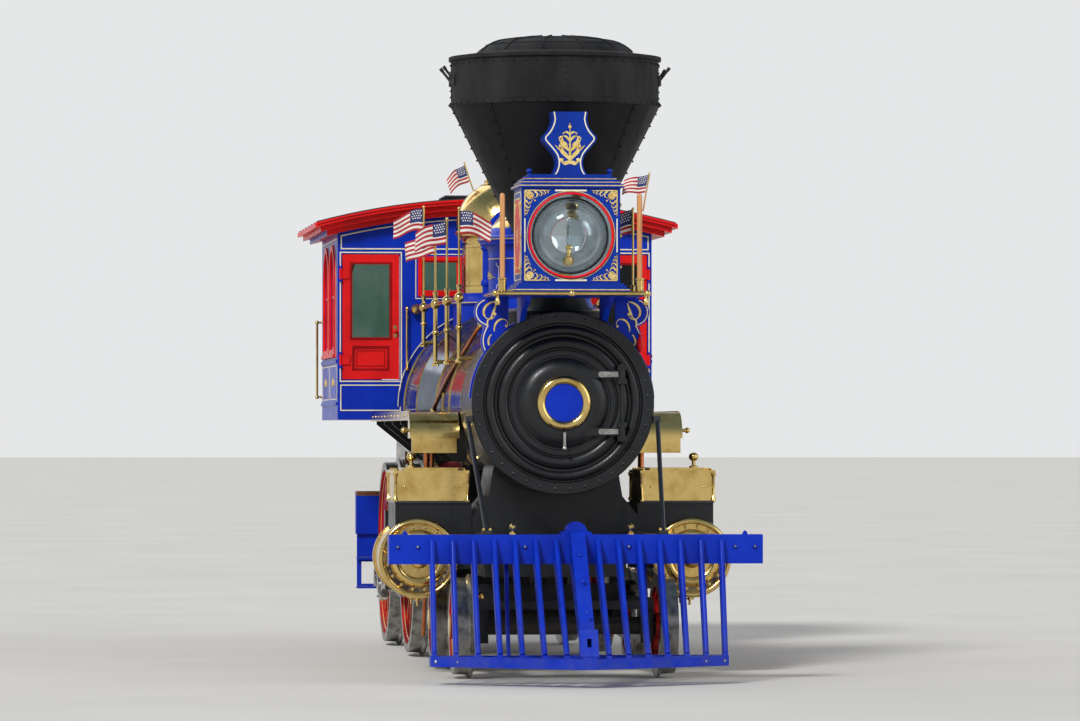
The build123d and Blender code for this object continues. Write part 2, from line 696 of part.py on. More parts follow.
def headlamp_platform():
    """The lamp's board, carried on scroll brackets that stand on the smokebox."""
    top = RAIL + platform_h
    under = top - platform_thickness
    half = platform_half_width
    board = block((LAMP_STATION - 45, LAMP_STATION + 720), (-half, half), (under, top))
    gusset = side_plate([
        (LAMP_STATION + 690, under), (LAMP_STATION + 60, under), (LAMP_STATION + 70, under - 40),
        (LAMP_STATION + 330, under - 90), (LAMP_STATION + 520, under - 190),
        (smokebox_station - front_ring_depth + 10, AXIS_Z + 560), (LAMP_STATION + 690, AXIS_Z + 560),
    ], (285, 325))
    # A bracket that swells out past the board's end and curls in again to its foot on the smokebox.
    scroll = cross_plate([
        (395, under), (548, under), (648, under - 100, 562, under - 210),
        (596, under - 330, 540, under - 450), (395, under - 330),
    ], (LAMP_STATION + 620, LAMP_STATION + 680))
    platform = board + both_sides(gusset + scroll)
    platform -= boiler_cutter(smokebox_radius, (smokebox_station - seat, barrel_station))
    return platform - boiler_cutter(front_ring_radius, (smokebox_station - 500, smokebox_station - seat))


def boiler():
    """Barrel, tapered course and wagon top, with the deep firebox between the driving axles."""
    profile = [
        (0, barrel_station + seat), (barrel_radius, barrel_station + seat), (barrel_radius, taper_station),
        (wagon_top_radius, wagon_top_station), (wagon_top_radius, backhead_station - 40),
        (wagon_top_radius - 40, backhead_station), (0, backhead_station),
    ]
    points = [(at(station), 0, radius) for radius, station in profile]
    shell = Pos(0, 0, AXIS_Z) * revolve(make_face(Polyline(*points, close=True)), Axis.X)
    firebox_stations = (front_driver_station + 340, backhead_station)
    half = firebox_half_width
    shell += block(firebox_stations, (-half, half), (RAIL + firebox_bottom_h, AXIS_Z - 300))
    front, back, top = *firebox_stations, RAIL + firebox_bottom_h
    ashpan = [(front + 60, top), (back - 60, top), (back - 260, RAIL + 400), (front + 260, RAIL + 400)]
    shell += side_plate(ashpan, (-half + 70, half - 70))
    pad_stations = (front_driver_station + 800, front_driver_station + 1600)
    frame_top = RAIL + frame_h[1] + seat
    shell += both_sides(block(pad_stations, (half - 10, frame_y[1]), (frame_top, frame_top + 60)))
    for z in FIRE_HINGES:
        for low, high in ((z - 60, z - 42), (z + 42, z + 60)):
            lug_stations = (backhead_station - 1, FIRE_PIN_STATION + 16)
            shell += block(lug_stations, (fire_pin_y - 17, fire_pin_y + 17), (low, high))
    shell -= bar_z(FIRE_PIN_STATION, fire_pin_y, (RAIL + 1400, RAIL + 1850), fire_pin_radius + running)
    hole_stations = (backhead_station - 300, backhead_station + 1)
    fire_hole = block(hole_stations, (-165, 165), (RAIL + 1480, RAIL + 1760))
    return shell - fire_hole


def boiler_bands():
    """Polished bands round the jacket: (station, width, radius of what it wraps)."""
    table = [
        (barrel_station + 4, 40, barrel_radius), (feed_valve_station + 72, 46, barrel_radius),
        (bell_station - 210, 46, barrel_radius),
        (taper_station - 70, 46, barrel_radius), (wagon_top_station + 30, 46, wagon_top_radius),
        (cab_station - 90, 46, wagon_top_radius),
    ]
    bands = []
    for station, width, radius in table:
        band = bar_x((station, station + width), 0, AXIS_Z, radius + band_proud)
        band -= bar_x((station - 1, station + width + 1), 0, AXIS_Z, radius + seat)
        bands.append(band)
    # The firebox side leaves the wagon top low down, so its bands stop there.
    half = firebox_half_width + 20
    notch = block((front_driver_station + 300, backhead_station), (-half, half), (RAIL, AXIS_Z - 300))
    bands[-1] -= notch
    return Compound(bands)


def sand_dome():
    """The sandbox: a skirt on the barrel, a drum, a flared cornice and a conical lid."""
    profile = [
        (0, 2300), (440, 2300), (440, 2690), (456, 2707, 440, 2724), (428, 2724), (400, 2752, 392, 2800),
        (392, 3120), (406, 3176, 458, 3206), (458, 3222), (476, 3243, 458, 3264), (440, 3272),
        (318, 3392, 116, 3490), (104, 3496), (104, 3528), (*over_axis(104, 3528, 3588), 0, 3588),
    ]
    dome = Pos(at(sand_dome_station), 0, RAIL) * turned(profile)
    return dome - boiler_cutter(barrel_radius, (sand_dome_station - 600, sand_dome_station + 600))


def steam_dome():
    """The tall dome on the wagon top, with a cased column, a cornice and a stepped crown."""
    profile = [
        (0, 2400), (420, 2400), (420, 2800), (438, 2824, 420, 2848), (408, 2848), (362, 2876, 350, 2930),
        (350, 3296), (360, 3346, 396, 3366), (396, 3378), (410, 3394, 396, 3410),
        steam_crown[0], (*steam_crown[1], *steam_crown[2]), (170, 3796), (170, 3822), (0, 3822),
    ]
    dome = Pos(at(steam_dome_station), 0, RAIL) * turned(profile)
    return dome - boiler_cutter(wagon_top_radius, (steam_dome_station - 520, steam_dome_station + 520))


def whistle():
    """The whistle and the two safety valve columns on the steam dome, on one base plate."""
    top = RAIL + 3822 + seat
    x = at(steam_dome_station)
    base = Pos(x, 0, top) * turned([(0, 0), (150, 0), (150, 14), (0, 14)])
    valve = turned([
        (0, 10), (36, 10), (36, 30), (24, 44), (24, 120), (40, 132), (40, 156),
        (*over_axis(40, 156, 182), 0, 182),
    ])
    bell = turned([
        (0, 10), (30, 10), (30, 26), (16, 36), (16, 110), (54, 128, 16, 146), (16, 156),
        (44, 160), (44, 284), (30, 300, 12, 304), (12, 330), (0, 330),
    ])
    group = base + Pos(x, 0, top) * bell
    for y in (-95, 95):
        group += Pos(x, y, top) * valve
    return group


def bell_stand():
    """The bell's arched stand on the barrel."""
    top = RAIL + 3290
    foot = turned([
        (0, 0), (62, 0), (62, 20), (32, 46, 26, 120), (26, 280), (40, 310, 26, 340), (26, 560), (40, 580),
        (40, 650), (0, 650),
    ])
    column = Pos(at(bell_station), 290, top - 650) * foot
    base = block((bell_station - 90, bell_station + 90), (-350, 350), (AXIS_Z + 400, RAIL + 2700))
    bearing = running + 22
    arch_outer = bar_x((bell_station - 18, bell_station + 18), 0, top - 20, 306)
    arch_inner = bar_x((bell_station - 19, bell_station + 19), 0, top - 20, 270)
    below = block((bell_station - 40, bell_station + 40), (-400, 400), (top - 400, top - 20))
    arch = arch_outer - arch_inner - below
    stand = base + both_sides(column) + arch
    stand -= boiler_cutter(barrel_radius, (bell_station - 200, bell_station + 200))
    return stand - bar_y(bell_station, (-340, 340), RAIL + 3240, bearing)


def bell():
    """The bell with its yoke and trunnions, hanging from an axis across the locomotive."""
    pivot = RAIL + 3240
    shell = turned([
        (0, -60), (60, -62), (103, -84, 118, -130), (134, -262, 196, -350), (200, -368),
        (176, -362), (114, -262, 98, -140), (86, -108, 50, -94), (0, -92),
    ])
    piece = Pos(at(bell_station), 0, pivot) * shell
    yoke = Pos(at(bell_station), 0, pivot) * Cylinder(34, 130)
    piece += yoke + bar_y(bell_station, (-330, 330), pivot, 22)
    clapper = rod_between((at(bell_station), 0, pivot - 80), (at(bell_station), 0, pivot - 330), 9)
    return piece + clapper + Pos(at(bell_station), 0, pivot - 330) * Sphere(28)


# Frame, beam and pilot

def side_frame():
    """The left bar frame, inside the wheels, with pedestals for the driving axle boxes."""
    low, high = RAIL + frame_h[0], RAIL + frame_h[1]
    bars = block((beam_station + beam_thickness + seat, rear_beam_station - seat), frame_y, (low, high))
    binder = (RAIL + pedestal_h - 80, RAIL + pedestal_h)
    for station in (front_driver_station, REAR_DRIVER_STATION):
        for offset in (-axle_box_half - 80, axle_box_half):
            bars += block((station + offset, station + offset + 80), frame_y, (binder[0], low + 5))
    bars += block((front_driver_station - 260, REAR_DRIVER_STATION + 260), frame_y, binder)
    bars += side_plate([
        (front_driver_station - 260, binder[1]), (front_driver_station - 260, binder[0]),
        (front_driver_station - 700, low + 5), (front_driver_station - 600, low + 5),
    ], frame_y)
    bars += side_plate([
        (REAR_DRIVER_STATION + 260, binder[0]), (REAR_DRIVER_STATION + 260, binder[1]),
        (REAR_DRIVER_STATION + 560, low + 5), (REAR_DRIVER_STATION + 660, low + 5),
    ], frame_y)
    return bars


def frame_ties():
    """Cross ties between the frames, and the waist sheets that stand on them and carry the barrel."""
    low, high = RAIL + frame_h[0] + 20, RAIL + frame_h[1] - 10
    inner = frame_y[0] - seat
    ties = []
    for station in (beam_station + beam_thickness + 160, front_driver_station - 800, LAST_TIE_STATION):
        ties.append(block((station, station + 90), (-inner, inner), (low, high)))
    top = RAIL + frame_h[1] + seat
    for station in WAIST_SHEETS:
        outline = [
            (-600, top), (600, top), (600, top + 60), (440, AXIS_Z - 460), (-440, AXIS_Z - 460),
            (-600, top + 60),
        ]
        sheet = cross_plate(outline, (station, station + 16))
        ties.append(sheet - boiler_cutter(barrel_radius, (station - 9, station + 30)))
    return Compound(ties)


def springs():
    """The driving axle boxes between their pedestals, and the leaf springs over them on the frame."""
    low, high = RAIL + pedestal_h + seat, RAIL + frame_h[0] - seat
    top = RAIL + frame_h[1] + seat
    pieces = []
    for station in (front_driver_station, REAR_DRIVER_STATION):
        stations = (station - axle_box_half + seat, station + axle_box_half - seat)
        box = block(stations, (frame_y[0] - 4, frame_y[1] + 4), (low, high))
        box -= bar_y(station, (frame_y[0] - 5, frame_y[1] + 5), DRIVER_Z, driver_axle_radius + running)
        spring = block((station - 45, station + 45), (538, 612), (top, top + 136))
        for leaf in range(6):
            half = 430 - 55 * leaf
            spring += block(
                (station - half, station + half), (545, 605), (top + 110 - 14 * leaf, top + 124 - 14 * leaf)
            )
        for end in (-400, 400):
            spring += block((station + end - 16, station + end + 16), (555, 595), (top, top + 112))
        pieces += [box, mirrored(box), spring, mirrored(spring)]
    return Compound(pieces)


def bumper_beam():
    """The heavy front beam with the coupling pocket on its middle."""
    stations = (beam_station, beam_station + beam_thickness)
    low, high = RAIL + beam_h[0], RAIL + beam_h[1]
    beam = block(stations, (-beam_half_length, beam_half_length), (low, high))
    pocket = cross_plate(
        [(-112, high - 1), (-112, high + 16), (-76, high + 26), (0, high + 92, 76, high + 26),
         (112, high + 16), (112, high - 1)],
        (beam_station + 10, beam_station + beam_thickness - 10),
    )
    return beam + pocket - bar_z(beam_station + 80, 0, (low - 1, high + 100), 24)


def pilot_edge(y):
    """The station of the pilot's bottom rail at a distance y from the middle."""
    return 60 + 620 * abs(y) / pilot_half_width


def pilot():
    """Bars that lean from the beam down to a V-shaped bottom rail, on both sides of a nose post."""
    bottom = (RAIL + pilot_bottom_h, RAIL + pilot_bottom_h + 75)
    half = pilot_half_width + 25
    edge = pilot_edge(half)
    face = beam_station - seat
    rail_top = bottom[1] + seat
    arm = flat_plate(
        [(0, seat / 2), (0, 46), (edge - 40, half), (edge + 40, half), (130, seat / 2)], bottom
    )
    back = block((edge + 40 + seat, edge + 100), (-half, half), bottom)
    pieces = [arm, mirrored(arm), back]
    tip = RAIL + beam_h[1] - 50
    for number in range(1, pilot_bars_a_side + 1):
        y = pilot_half_width * number / pilot_bars_a_side
        foot = pilot_edge(y)
        outline = [
            (face, tip + 14), (face - 22, tip + 20), (face - 38, tip + 2), (foot - 34, rail_top),
            (foot + 36, rail_top), (face, RAIL + beam_h[0] + 10),
        ]
        bar = side_plate(outline, (y - 18, y + 18))
        # Its front edge is rounded, up to a ball under the beam's top.
        bar += rod_between((at(face - 30), y, tip), (at(foot - 20), y, rail_top + 22), 18)
        bar += Pos(at(face - 30), y, tip) * Sphere(18)
        pieces += [bar, mirrored(bar)]
    nose = side_plate([
        (face, RAIL + beam_h[1] + 20), (face - 60, RAIL + beam_h[1] + 20), (14, rail_top), (150, rail_top),
        (face, RAIL + beam_h[0]),
    ], (-52, 52))
    # The coupling casting low on the nose, with its slot.
    nose += side_plate([
        (26, rail_top + 6), (20, RAIL + 200), (106, RAIL + 385), (190, RAIL + 385), (140, rail_top + 6),
    ], (-64, 64))
    nose -= block((0, 200), (-16, 16), (RAIL + 262, RAIL + 322))
    pieces.append(nose)
    for y in (-500, 500):
        low, high = edge + 100 + seat, RAIL + beam_h[0] - seat
        under_beam = (beam_station + 90, beam_station + 130)
        outline = [(low, bottom[0] + 5), (low, bottom[1]), (under_beam[0], high), (under_beam[1], high)]
        stay = side_plate(outline, (y - 14, y + 14))
        pieces.append(stay)
    return Compound(pieces)


# Truck

def truck_frame():
    """Side bars with axle boxes inside the wheels, a bolster and the centre pin."""
    half_base = truck_wheelbase / 2
    frame_top, frame_low = RAIL + 560, RAIL + 480
    ys = (560.0, 650.0)
    reach = half_base + 200
    side = block((TRUCK_STATION - reach, TRUCK_STATION + reach), ys, (frame_low, frame_top))
    for sign in (-1, 1):
        station = TRUCK_STATION + sign * half_base
        side += block((station - 110, station + 110), ys, (RAIL + 230, frame_low + 5))
        side -= bar_y(station, (ys[0] - 1, ys[1] + 1), TRUCK_Z, truck_axle_radius + running)
    side += side_plate([
        (TRUCK_STATION - half_base + 100, RAIL + 250), (TRUCK_STATION - half_base + 100, RAIL + 300),
        (TRUCK_STATION, RAIL + 270), (TRUCK_STATION + half_base - 100, RAIL + 300),
        (TRUCK_STATION + half_base - 100, RAIL + 250), (TRUCK_STATION, RAIL + 220),
    ], ys)
    inner = ys[0] - seat
    bolster_stations = (TRUCK_STATION - 160, TRUCK_STATION + 160)
    bolster = block(bolster_stations, (-inner, inner), (frame_low + 10, RAIL + 640))
    bolster += bar_z(TRUCK_STATION, 0, (RAIL + 630, SADDLE_Z - seat), 150)
    bolster += bar_z(TRUCK_STATION, 0, (SADDLE_Z - 10, SADDLE_Z + 120), truck_pin_radius)
    pieces = [side, mirrored(side), bolster]
    for sign in (-1, 1):
        station = TRUCK_STATION + sign * (half_base + 150)
        pieces.append(block((station - 30, station + 30), (-inner, inner), (frame_low, frame_top - 20)))
    return Compound(pieces)


# Running boards, rails and pipes

def running_boards():
    """The side boards at the cab's floor level, on brackets from the boiler."""
    low, high = RAIL + board_h[0], RAIL + board_h[1]
    start, end = barrel_station + 50 + nose_radius, cab_station - seat
    board = block((start, end), (600, board_half_width), (low, high))
    lip = block((start, end), (board_half_width, board_half_width + 14), (low - 14, high + 8))
    board += lip
    board -= boiler_cutter(barrel_radius + band_proud, (barrel_station, taper_station))
    board -= boiler_cutter(wagon_top_radius + band_proud, (taper_station, cab_station + 5))
    pieces = [board, mirrored(board)]
    top = low - seat
    count = 5
    for number in range(count):
        station = start + 300 + number * (end - start - 550) / (count - 1)
        bracket = cross_plate([
            (560, top), (board_half_width - 20, top), (board_half_width - 20, low - 40), (640, low - 330),
            (560, low - 330),
        ], (station, station + 18))
        bracket -= boiler_cutter(barrel_radius, (barrel_station, taper_station))
        bracket -= boiler_cutter(wagon_top_radius, (taper_station, cab_station + 5))
        pieces += [bracket, mirrored(bracket)]
    return Compound(pieces)


def board_noses():
    """The rolled front ends of the running boards."""
    high = RAIL + board_h[1]
    front = barrel_station + 50
    arc_centre = front + nose_radius
    roll = bar_y(arc_centre, (660, board_half_width + 14), high - nose_radius, nose_radius)
    roll &= block((front - 10, arc_centre - seat), (650, 1100), (high - nose_radius, high + 10))
    curl = high - nose_radius
    apron = block((front + 10, front + 40), (680, board_half_width), (curl - 110, curl))
    knob = bar_y(front + 60, (board_half_width + 10, board_half_width + 50), high - 140, 13)
    knob += Pos(at(front + 60), board_half_width + 56, high - 140) * Sphere(22)
    nose = roll + apron + knob
    return both_sides(nose - boiler_cutter(barrel_radius + band_proud, (front - 50, arc_centre + 10)))


def handrail_posts():
    """(station, jacket radius) of each handrail column."""
    return (
        (barrel_station + 80, barrel_radius), (feed_valve_station + 160, barrel_radius),
        (taper_station - 120, barrel_radius), (steam_dome_station + 20, wagon_top_radius),
    )


def handrails():
    """Turned columns on the boiler's shoulders, and the rail that runs through their balls to the cab."""
    rail_z = RAIL + 2790
    y = handrail_y
    pieces = []
    stations = [station for station, _ in handrail_posts()]
    for station, radius in handrail_posts():
        foot_z = RAIL + (2300 if radius == barrel_radius else 2470)
        height = RAIL + 2890 - foot_z
        column = Pos(at(station), y, foot_z) * turned([
            (0, 0), (30, 0), (30, 16), (17, 26), (17, height * 0.42), (27, height * 0.45, 17, height * 0.48),
            (17, height - 136), (38, height - 100, 17, height - 64), (14, height - 50), (22, height - 12),
            (14, height), (0, height),
        ])
        inward = bar_y(station, (300, y), foot_z + 34, 16)
        column += inward - bar_x((station - 40, station + 40), 0, AXIS_Z, radius + seat)
        pieces += [column, mirrored(column)]
    starts = [stations[0] - 110] + stations
    ends = stations + [cab_station - seat]
    for start, end in zip(starts, ends):
        rail = bar_x((start, end), y, rail_z, 15)
        for station in (start, end):
            if station in stations:
                rail -= bar_z(station, y, (rail_z - 20, rail_z + 20), 38 + seat)
        if end == ends[-1]:
            ball = turned([(10, -46), (14, -46), (44, 0, 14, 46), (10, 46)])
            rail += facing_front(ball, cab_station - 60, y, rail_z)
        pieces += [rail, mirrored(rail)]
    return Compound(pieces)


def valve_rods():
    """The valve rods, rocker arms and rocker boxes, one set a side."""
    rod_z, shaft_z, y = RAIL + 1360, RAIL + 1110, 785.0
    frame_top = RAIL + frame_h[1] + seat
    arm_station = YOKE_STATION - 80
    rod = bar_x((TRUCK_STATION + 362 + seat, arm_station - 30 - seat), y, rod_z, 18)
    arm = side_plate([
        (arm_station - 30, rod_z + 32), (arm_station + 28, rod_z + 32), (arm_station + 44, shaft_z - 44),
        (arm_station - 44, shaft_z - 44), (arm_station - 30, rod_z - 32),
    ], (y - 18, y + 18))
    shaft = bar_y(arm_station, (frame_y[1] + seat, y - 18 - seat), shaft_z, 30)
    rocker_box = block((arm_station - 60, arm_station + 60), frame_y, (frame_top, frame_top + 110))
    pieces = []
    for piece in (rod, arm, shaft, rocker_box):
        pieces += [piece, mirrored(piece)]
    return Compound(pieces)


def feed_pipes():
    """Check valves on the barrel, with the feed pipes that come up to them from the pumps."""
    x = at(feed_valve_station)
    inner = barrel_radius + seat
    pipe_y, low, high = 830.0, RAIL + 1240, RAIL + 1700
    route = FilletPolyline(
        (x, inner + 40, high), (x, pipe_y, high), (x, pipe_y, low + 60), (x + 420, pipe_y, low + 60),
        radius=70,
    )
    section = Plane(origin=(x, inner + 40, high), z_dir=(0, 1, 0)) * Circle(24)
    pipe = sweep(section, path=route)
    valve = Pos(x, inner + 70, high) * Rot(-90, 0, 0) * turned(
        [(0, -160), (44, -160), (44, 0), (66, 8), (66, 26), (40, 34), (40, 58), (56, 72, 40, 86), (0, 90)]
    )
    valve -= bar_x((feed_valve_station - 150, feed_valve_station + 150), 0, AXIS_Z, inner)
    return both_sides(pipe + valve)


# Cab

def under_roof(drop, stations, half_width):
    """The space under the roof's outer arc lowered by drop, down to the cab floor."""
    crown = RAIL + ROOF_CROWN_H - drop
    # The arc keeps the roof's own curve, cut off at the half width asked for.
    sagitta = ROOF_CROWN_H - ROOF_EAVE_H
    radius = (roof_half_width ** 2 + sagitta ** 2) / (2 * sagitta)
    edge = crown - radius + sqrt(radius ** 2 - half_width ** 2)
    floor = RAIL + board_h[1] + seat
    outline = [(-half_width, edge), (0, crown, half_width, edge), (half_width, floor), (-half_width, floor)]
    return cross_plate(outline, stations)


roof_steps = ((0, 40, 0), (40, 45, 45), (85, 45, 100))     # (drop, thickness, inset from the roof's edge)
ROOF_DEPTH = sum(step[1] for step in roof_steps)


def cab_roof():
    """The arched roof with its stepped cornice."""
    roof = None
    start, end = cab_station - roof_overhang[0], cab_rear_station + roof_overhang[1]
    for drop, thickness, inset in roof_steps:
        stations = (start + inset, end - inset)
        layer = under_roof(drop, stations, roof_half_width - inset)
        through = (stations[0] - 1, stations[1] + 1)
        layer -= under_roof(drop + thickness, through, roof_half_width - inset + 5)
        roof = layer if roof is None else roof + layer
    return roof


def cab_front():
    """The front wall, with its two doorways, two windows and the opening round the boiler."""
    stations = (cab_station, cab_station + cab_wall)
    wall = under_roof(ROOF_DEPTH + seat, stations, cab_half_width)
    wall -= boiler_cutter(wagon_top_radius, (stations[0] - 1, stations[1] + 1))
    reach = (stations[0] - 1, stations[1] + 1)
    door_z = (RAIL + DOOR_H[0], RAIL + DOOR_H[1])
    window_z = (RAIL + SMALL_WINDOW_H[0], RAIL + SMALL_WINDOW_H[1])
    for side in (LEFT, RIGHT):
        wall -= block(reach, sorted(side * y for y in door_y), door_z)
        wall -= block(reach, sorted(side * y for y in small_window_y), window_z)
    lugs = None
    for z in CAB_HINGES:
        for rise in (z - 64, z + 46):
            lug = block(
                (CAB_PIN_STATION - 12, cab_station + 1), (CAB_PIN_Y - 11, CAB_PIN_Y + 11), (rise, rise + 18)
            )
            lug -= bar_z(CAB_PIN_STATION, CAB_PIN_Y, (rise - 1, rise + 19), cab_pin_radius + running)
            lugs = lug if lugs is None else lugs + lug
    return wall + both_sides(lugs)


def window_opening(place, ys, clearance=0.0):
    """An arched opening in a side wall, that far behind the cab's front."""
    low, spring = RAIL + window_h[0] + clearance, RAIL + window_h[1]
    start, end = cab_station + place, cab_station + place + window_width
    opening = block((start + clearance, end - clearance), ys, (low, spring))
    return opening + bar_y((start + end) / 2, ys, spring, window_width / 2 - clearance)


def cab_sides():
    """The two side walls with their arched windows and a raised waist moulding."""
    y_in, y_out = cab_half_width - cab_wall, cab_half_width
    start = cab_station + cab_wall + seat
    wall = under_roof(ROOF_DEPTH + seat, (start, cab_rear_station), cab_half_width)
    wall &= block((start, cab_rear_station), (y_in, y_out), (RAIL, RAIL + ROOF_CROWN_H))
    for rise in (70, 420):
        z = RAIL + board_h[1] + rise
        wall += block((start + 20, cab_rear_station - 20), (y_out - 5, y_out + 12), (z, z + 28))
    for place in window_places:
        wall -= window_opening(place, (y_in - 1, y_out + 20))
    return both_sides(wall)


def cab_rear():
    """The rear arch: corner posts joined under the roof over the wide opening to the deck."""
    stations = (cab_rear_station - cab_wall, cab_rear_station)
    inner = cab_half_width - cab_wall - seat
    wall = under_roof(ROOF_DEPTH + seat, stations, inner)
    reach = (stations[0] - 1, stations[1] + 1)
    half, spring = rear_opening_half, RAIL + ROOF_EAVE_H - rear_arch_head - 440
    opening = block(reach, (-half, half), (RAIL, spring))
    arch = bar_x(reach, 0, spring, half)
    flat = block(reach, (-half, half), (spring - 50, RAIL + ROOF_EAVE_H - rear_arch_head))
    return wall - opening - (arch & flat)


def cab_glass():
    """Panes in the side windows and in the two small front windows."""
    panes = []
    middle = cab_half_width - cab_wall / 2
    for place in window_places:
        pane = window_opening(place, (middle - 3, middle + 3), clearance=seat)
        panes += [pane, mirrored(pane)]
    mid_station = cab_station + cab_wall / 2
    small = block(
        (mid_station - 3, mid_station + 3), (small_window_y[0] + seat, small_window_y[1] - seat),
        (RAIL + SMALL_WINDOW_H[0] + seat, RAIL + SMALL_WINDOW_H[1] - seat),
    )
    return Compound(panes + [small, mirrored(small)])


def cab_door(side):
    """A front door of the cab: framed, with a glazed upper part and a sunk lower panel."""
    inner, outer = door_y[0] + free, door_y[1] - free
    low, high = RAIL + DOOR_H[0] + free, RAIL + DOOR_H[1] - free
    stations = (cab_station + 2, cab_station + 42)
    door = block(stations, (inner, outer), (low, high))
    opening_y, opening_z = (inner + 80, outer - 80), (low + 345, high - 80)
    door -= block((stations[0] - 1, stations[1] + 1), opening_y, opening_z)
    door -= block((stations[0] - 1, stations[0] + 12), opening_y, (low + 70, low + 275))
    pane = block(
        (stations[0] + 17, stations[0] + 23), (opening_y[0] + seat, opening_y[1] - seat),
        (opening_z[0] + seat, opening_z[1] - seat),
    )
    for z in CAB_HINGES:
        knuckle = bar_z(CAB_PIN_STATION, CAB_PIN_Y, (z - 45, z + 45), 11)
        knuckle += bar_z(CAB_PIN_STATION, CAB_PIN_Y, (z - 66, z + 66), cab_pin_radius)
        leaf = block((cab_station - 12, cab_station + 2), (outer - 60, outer), (z - 40, z + 40))
        lip = block((cab_station - 12, cab_station - 2), (outer - 10, door_y[1] + 6), (z - 40, z + 40))
        door += knuckle + leaf + lip
    door += Pos(at(cab_station - 26), inner + 34, (low + high) / 2 - 120) * Sphere(20)
    door += bar_x((cab_station - 26, cab_station + 4), inner + 34, (low + high) / 2 - 120, 8)
    whole = Compound([door, pane])
    return whole if side == LEFT else mirrored(whole)


def cab_floor():
    """The side floors at board level, the footwell's inner panels and the low deck for the crew."""
    low, high = RAIL + board_h[0], RAIL + board_h[1]
    deck_z = (RAIL + deck_h[0], RAIL + deck_h[1])
    start = backhead_station + 20
    side = block((cab_station, cab_rear_station), (600, cab_half_width), (low, high))
    side -= boiler_cutter(wagon_top_radius, (cab_station - 1, backhead_station))
    well = (backhead_station, cab_rear_station + 1)
    side -= block(well, (500, deck_half_width + seat), (low - 1, high + 1))
    panel_y = (deck_half_width - 40, deck_half_width)
    panel = block((start, cab_rear_station), panel_y, (deck_z[1] + seat, high))
    deck = block((start, rear_beam_station + 120), (-deck_half_width, deck_half_width), deck_z)
    deck += block((rear_beam_station, rear_beam_station + 120), (-rear_beam_half, rear_beam_half), deck_z)
    support = block(
        (REAR_DRIVER_STATION + 470, REAR_DRIVER_STATION + 540), frame_y,
        (RAIL + frame_h[1] + seat, deck_z[0] - seat),
    )
    pieces = [deck]
    for piece in (side, panel, support):
        pieces += [piece, mirrored(piece)]
    return Compound(pieces)


def rear_beam():
    """The beam under the deck's end, with the drawbar's hole and the crew's steps hanging from it."""
    stations = (rear_beam_station, rear_beam_station + 110)
    top = RAIL + deck_h[0] - seat
    bottom = RAIL + 900
    beam = block(stations, (-rear_beam_half, rear_beam_half), (bottom, top))
    beam -= block((stations[0] - 1, stations[1] + 1), (-75, 75), (DRAWBAR_Z[0] - 10, DRAWBAR_Z[1] + 10))
    hanger = block((stations[0] + 40, stations[0] + 52), (800, 990), (RAIL + 430, bottom - seat))
    hanger -= block((stations[0] + 30, stations[0] + 60), (840, 950), (RAIL + 470, RAIL + 660))
    for rise in (430, 680):
        hanger += block((stations[0] - 10, stations[1] + 20), (800, 990), (RAIL + rise, RAIL + rise + 18))
    return Compound([beam, hanger, mirrored(hanger)])


def drawbar():
    """The flat bar that couples the tender, held in the rear beam and the last frame tie."""
    eye_station = DRAWBAR_EYE_STATION
    bar = block((LAST_TIE_STATION + 90 + seat, eye_station), (-60, 60), DRAWBAR_Z)
    bar += bar_z(eye_station, 0, DRAWBAR_Z, 80)
    return bar - bar_z(eye_station, 0, (DRAWBAR_Z[0] - 1, DRAWBAR_Z[1] + 1), drawbar_eye_radius)


def cab_seats():
    """Seat boxes with their cushions, against the cab's sides."""
    floor = RAIL + board_h[1] + seat
    start, end, wall = cab_rear_station - 850, cab_rear_station - 150, cab_half_width - cab_wall - seat
    box = block((start, end), (860, wall), (floor, floor + 380))
    cushion = block((start - 10, end + 10), (850, wall), (floor + 380, floor + 450))
    return both_sides(box + cushion)


def backhead_fittings():
    """Throttle, gauge, try cocks and reversing lever at the crew's end of the boiler."""
    face = backhead_station + seat
    x = at(face)
    throttle = bar_x((face, face + 150), 0, AXIS_Z + 250, 26)
    throttle += rod_between((at(face + 130), 0, AXIS_Z + 250), (at(face + 190), -420, AXIS_Z + 330), 13)
    gauge_case = turned([(0, 0), (110, 0), (110, 60), (96, 66), (0, 62)])
    gauge = Pos(x, 0, AXIS_Z + 520) * Rot(0, -90, 0) * gauge_case
    pieces = [throttle, gauge]
    for step in range(3):
        z = AXIS_Z + 20 - 90 * step
        cock = bar_x((face, face + 90), 420, z, 14)
        cock += bar_y(face + 76, (420, 490), z, 9)
        pieces.append(cock)
    lever_foot = (at(face + 330), -560, RAIL + deck_h[1] + seat)
    lever = rod_between(lever_foot, (at(face + 250), -560, RAIL + 2480), 18)
    under_floor = (RAIL + deck_h[1] - 60, RAIL + deck_h[1] + seat)
    lever -= block((backhead_station, cab_rear_station), (-700, -400), under_floor)
    pieces.append(lever)
    return Compound(pieces)


def fire_door():
    """The fire hole's door, hung on a pin at its right edge."""
    face = backhead_station + free
    door = block((face, face + 26), (-190, 190), (RAIL + 1455, RAIL + 1785))
    for z in FIRE_HINGES:
        door += bar_z(FIRE_PIN_STATION, fire_pin_y, (z - 40, z + 40), 15)
        door += bar_z(FIRE_PIN_STATION, fire_pin_y, (z - 62, z + 62), fire_pin_radius)
        door += block((face + 4, face + 22), (fire_pin_y, -150), (z - 24, z + 24))
    return door + bar_x((face, face + 90), 150, RAIL + 1620, 13)


# Flags

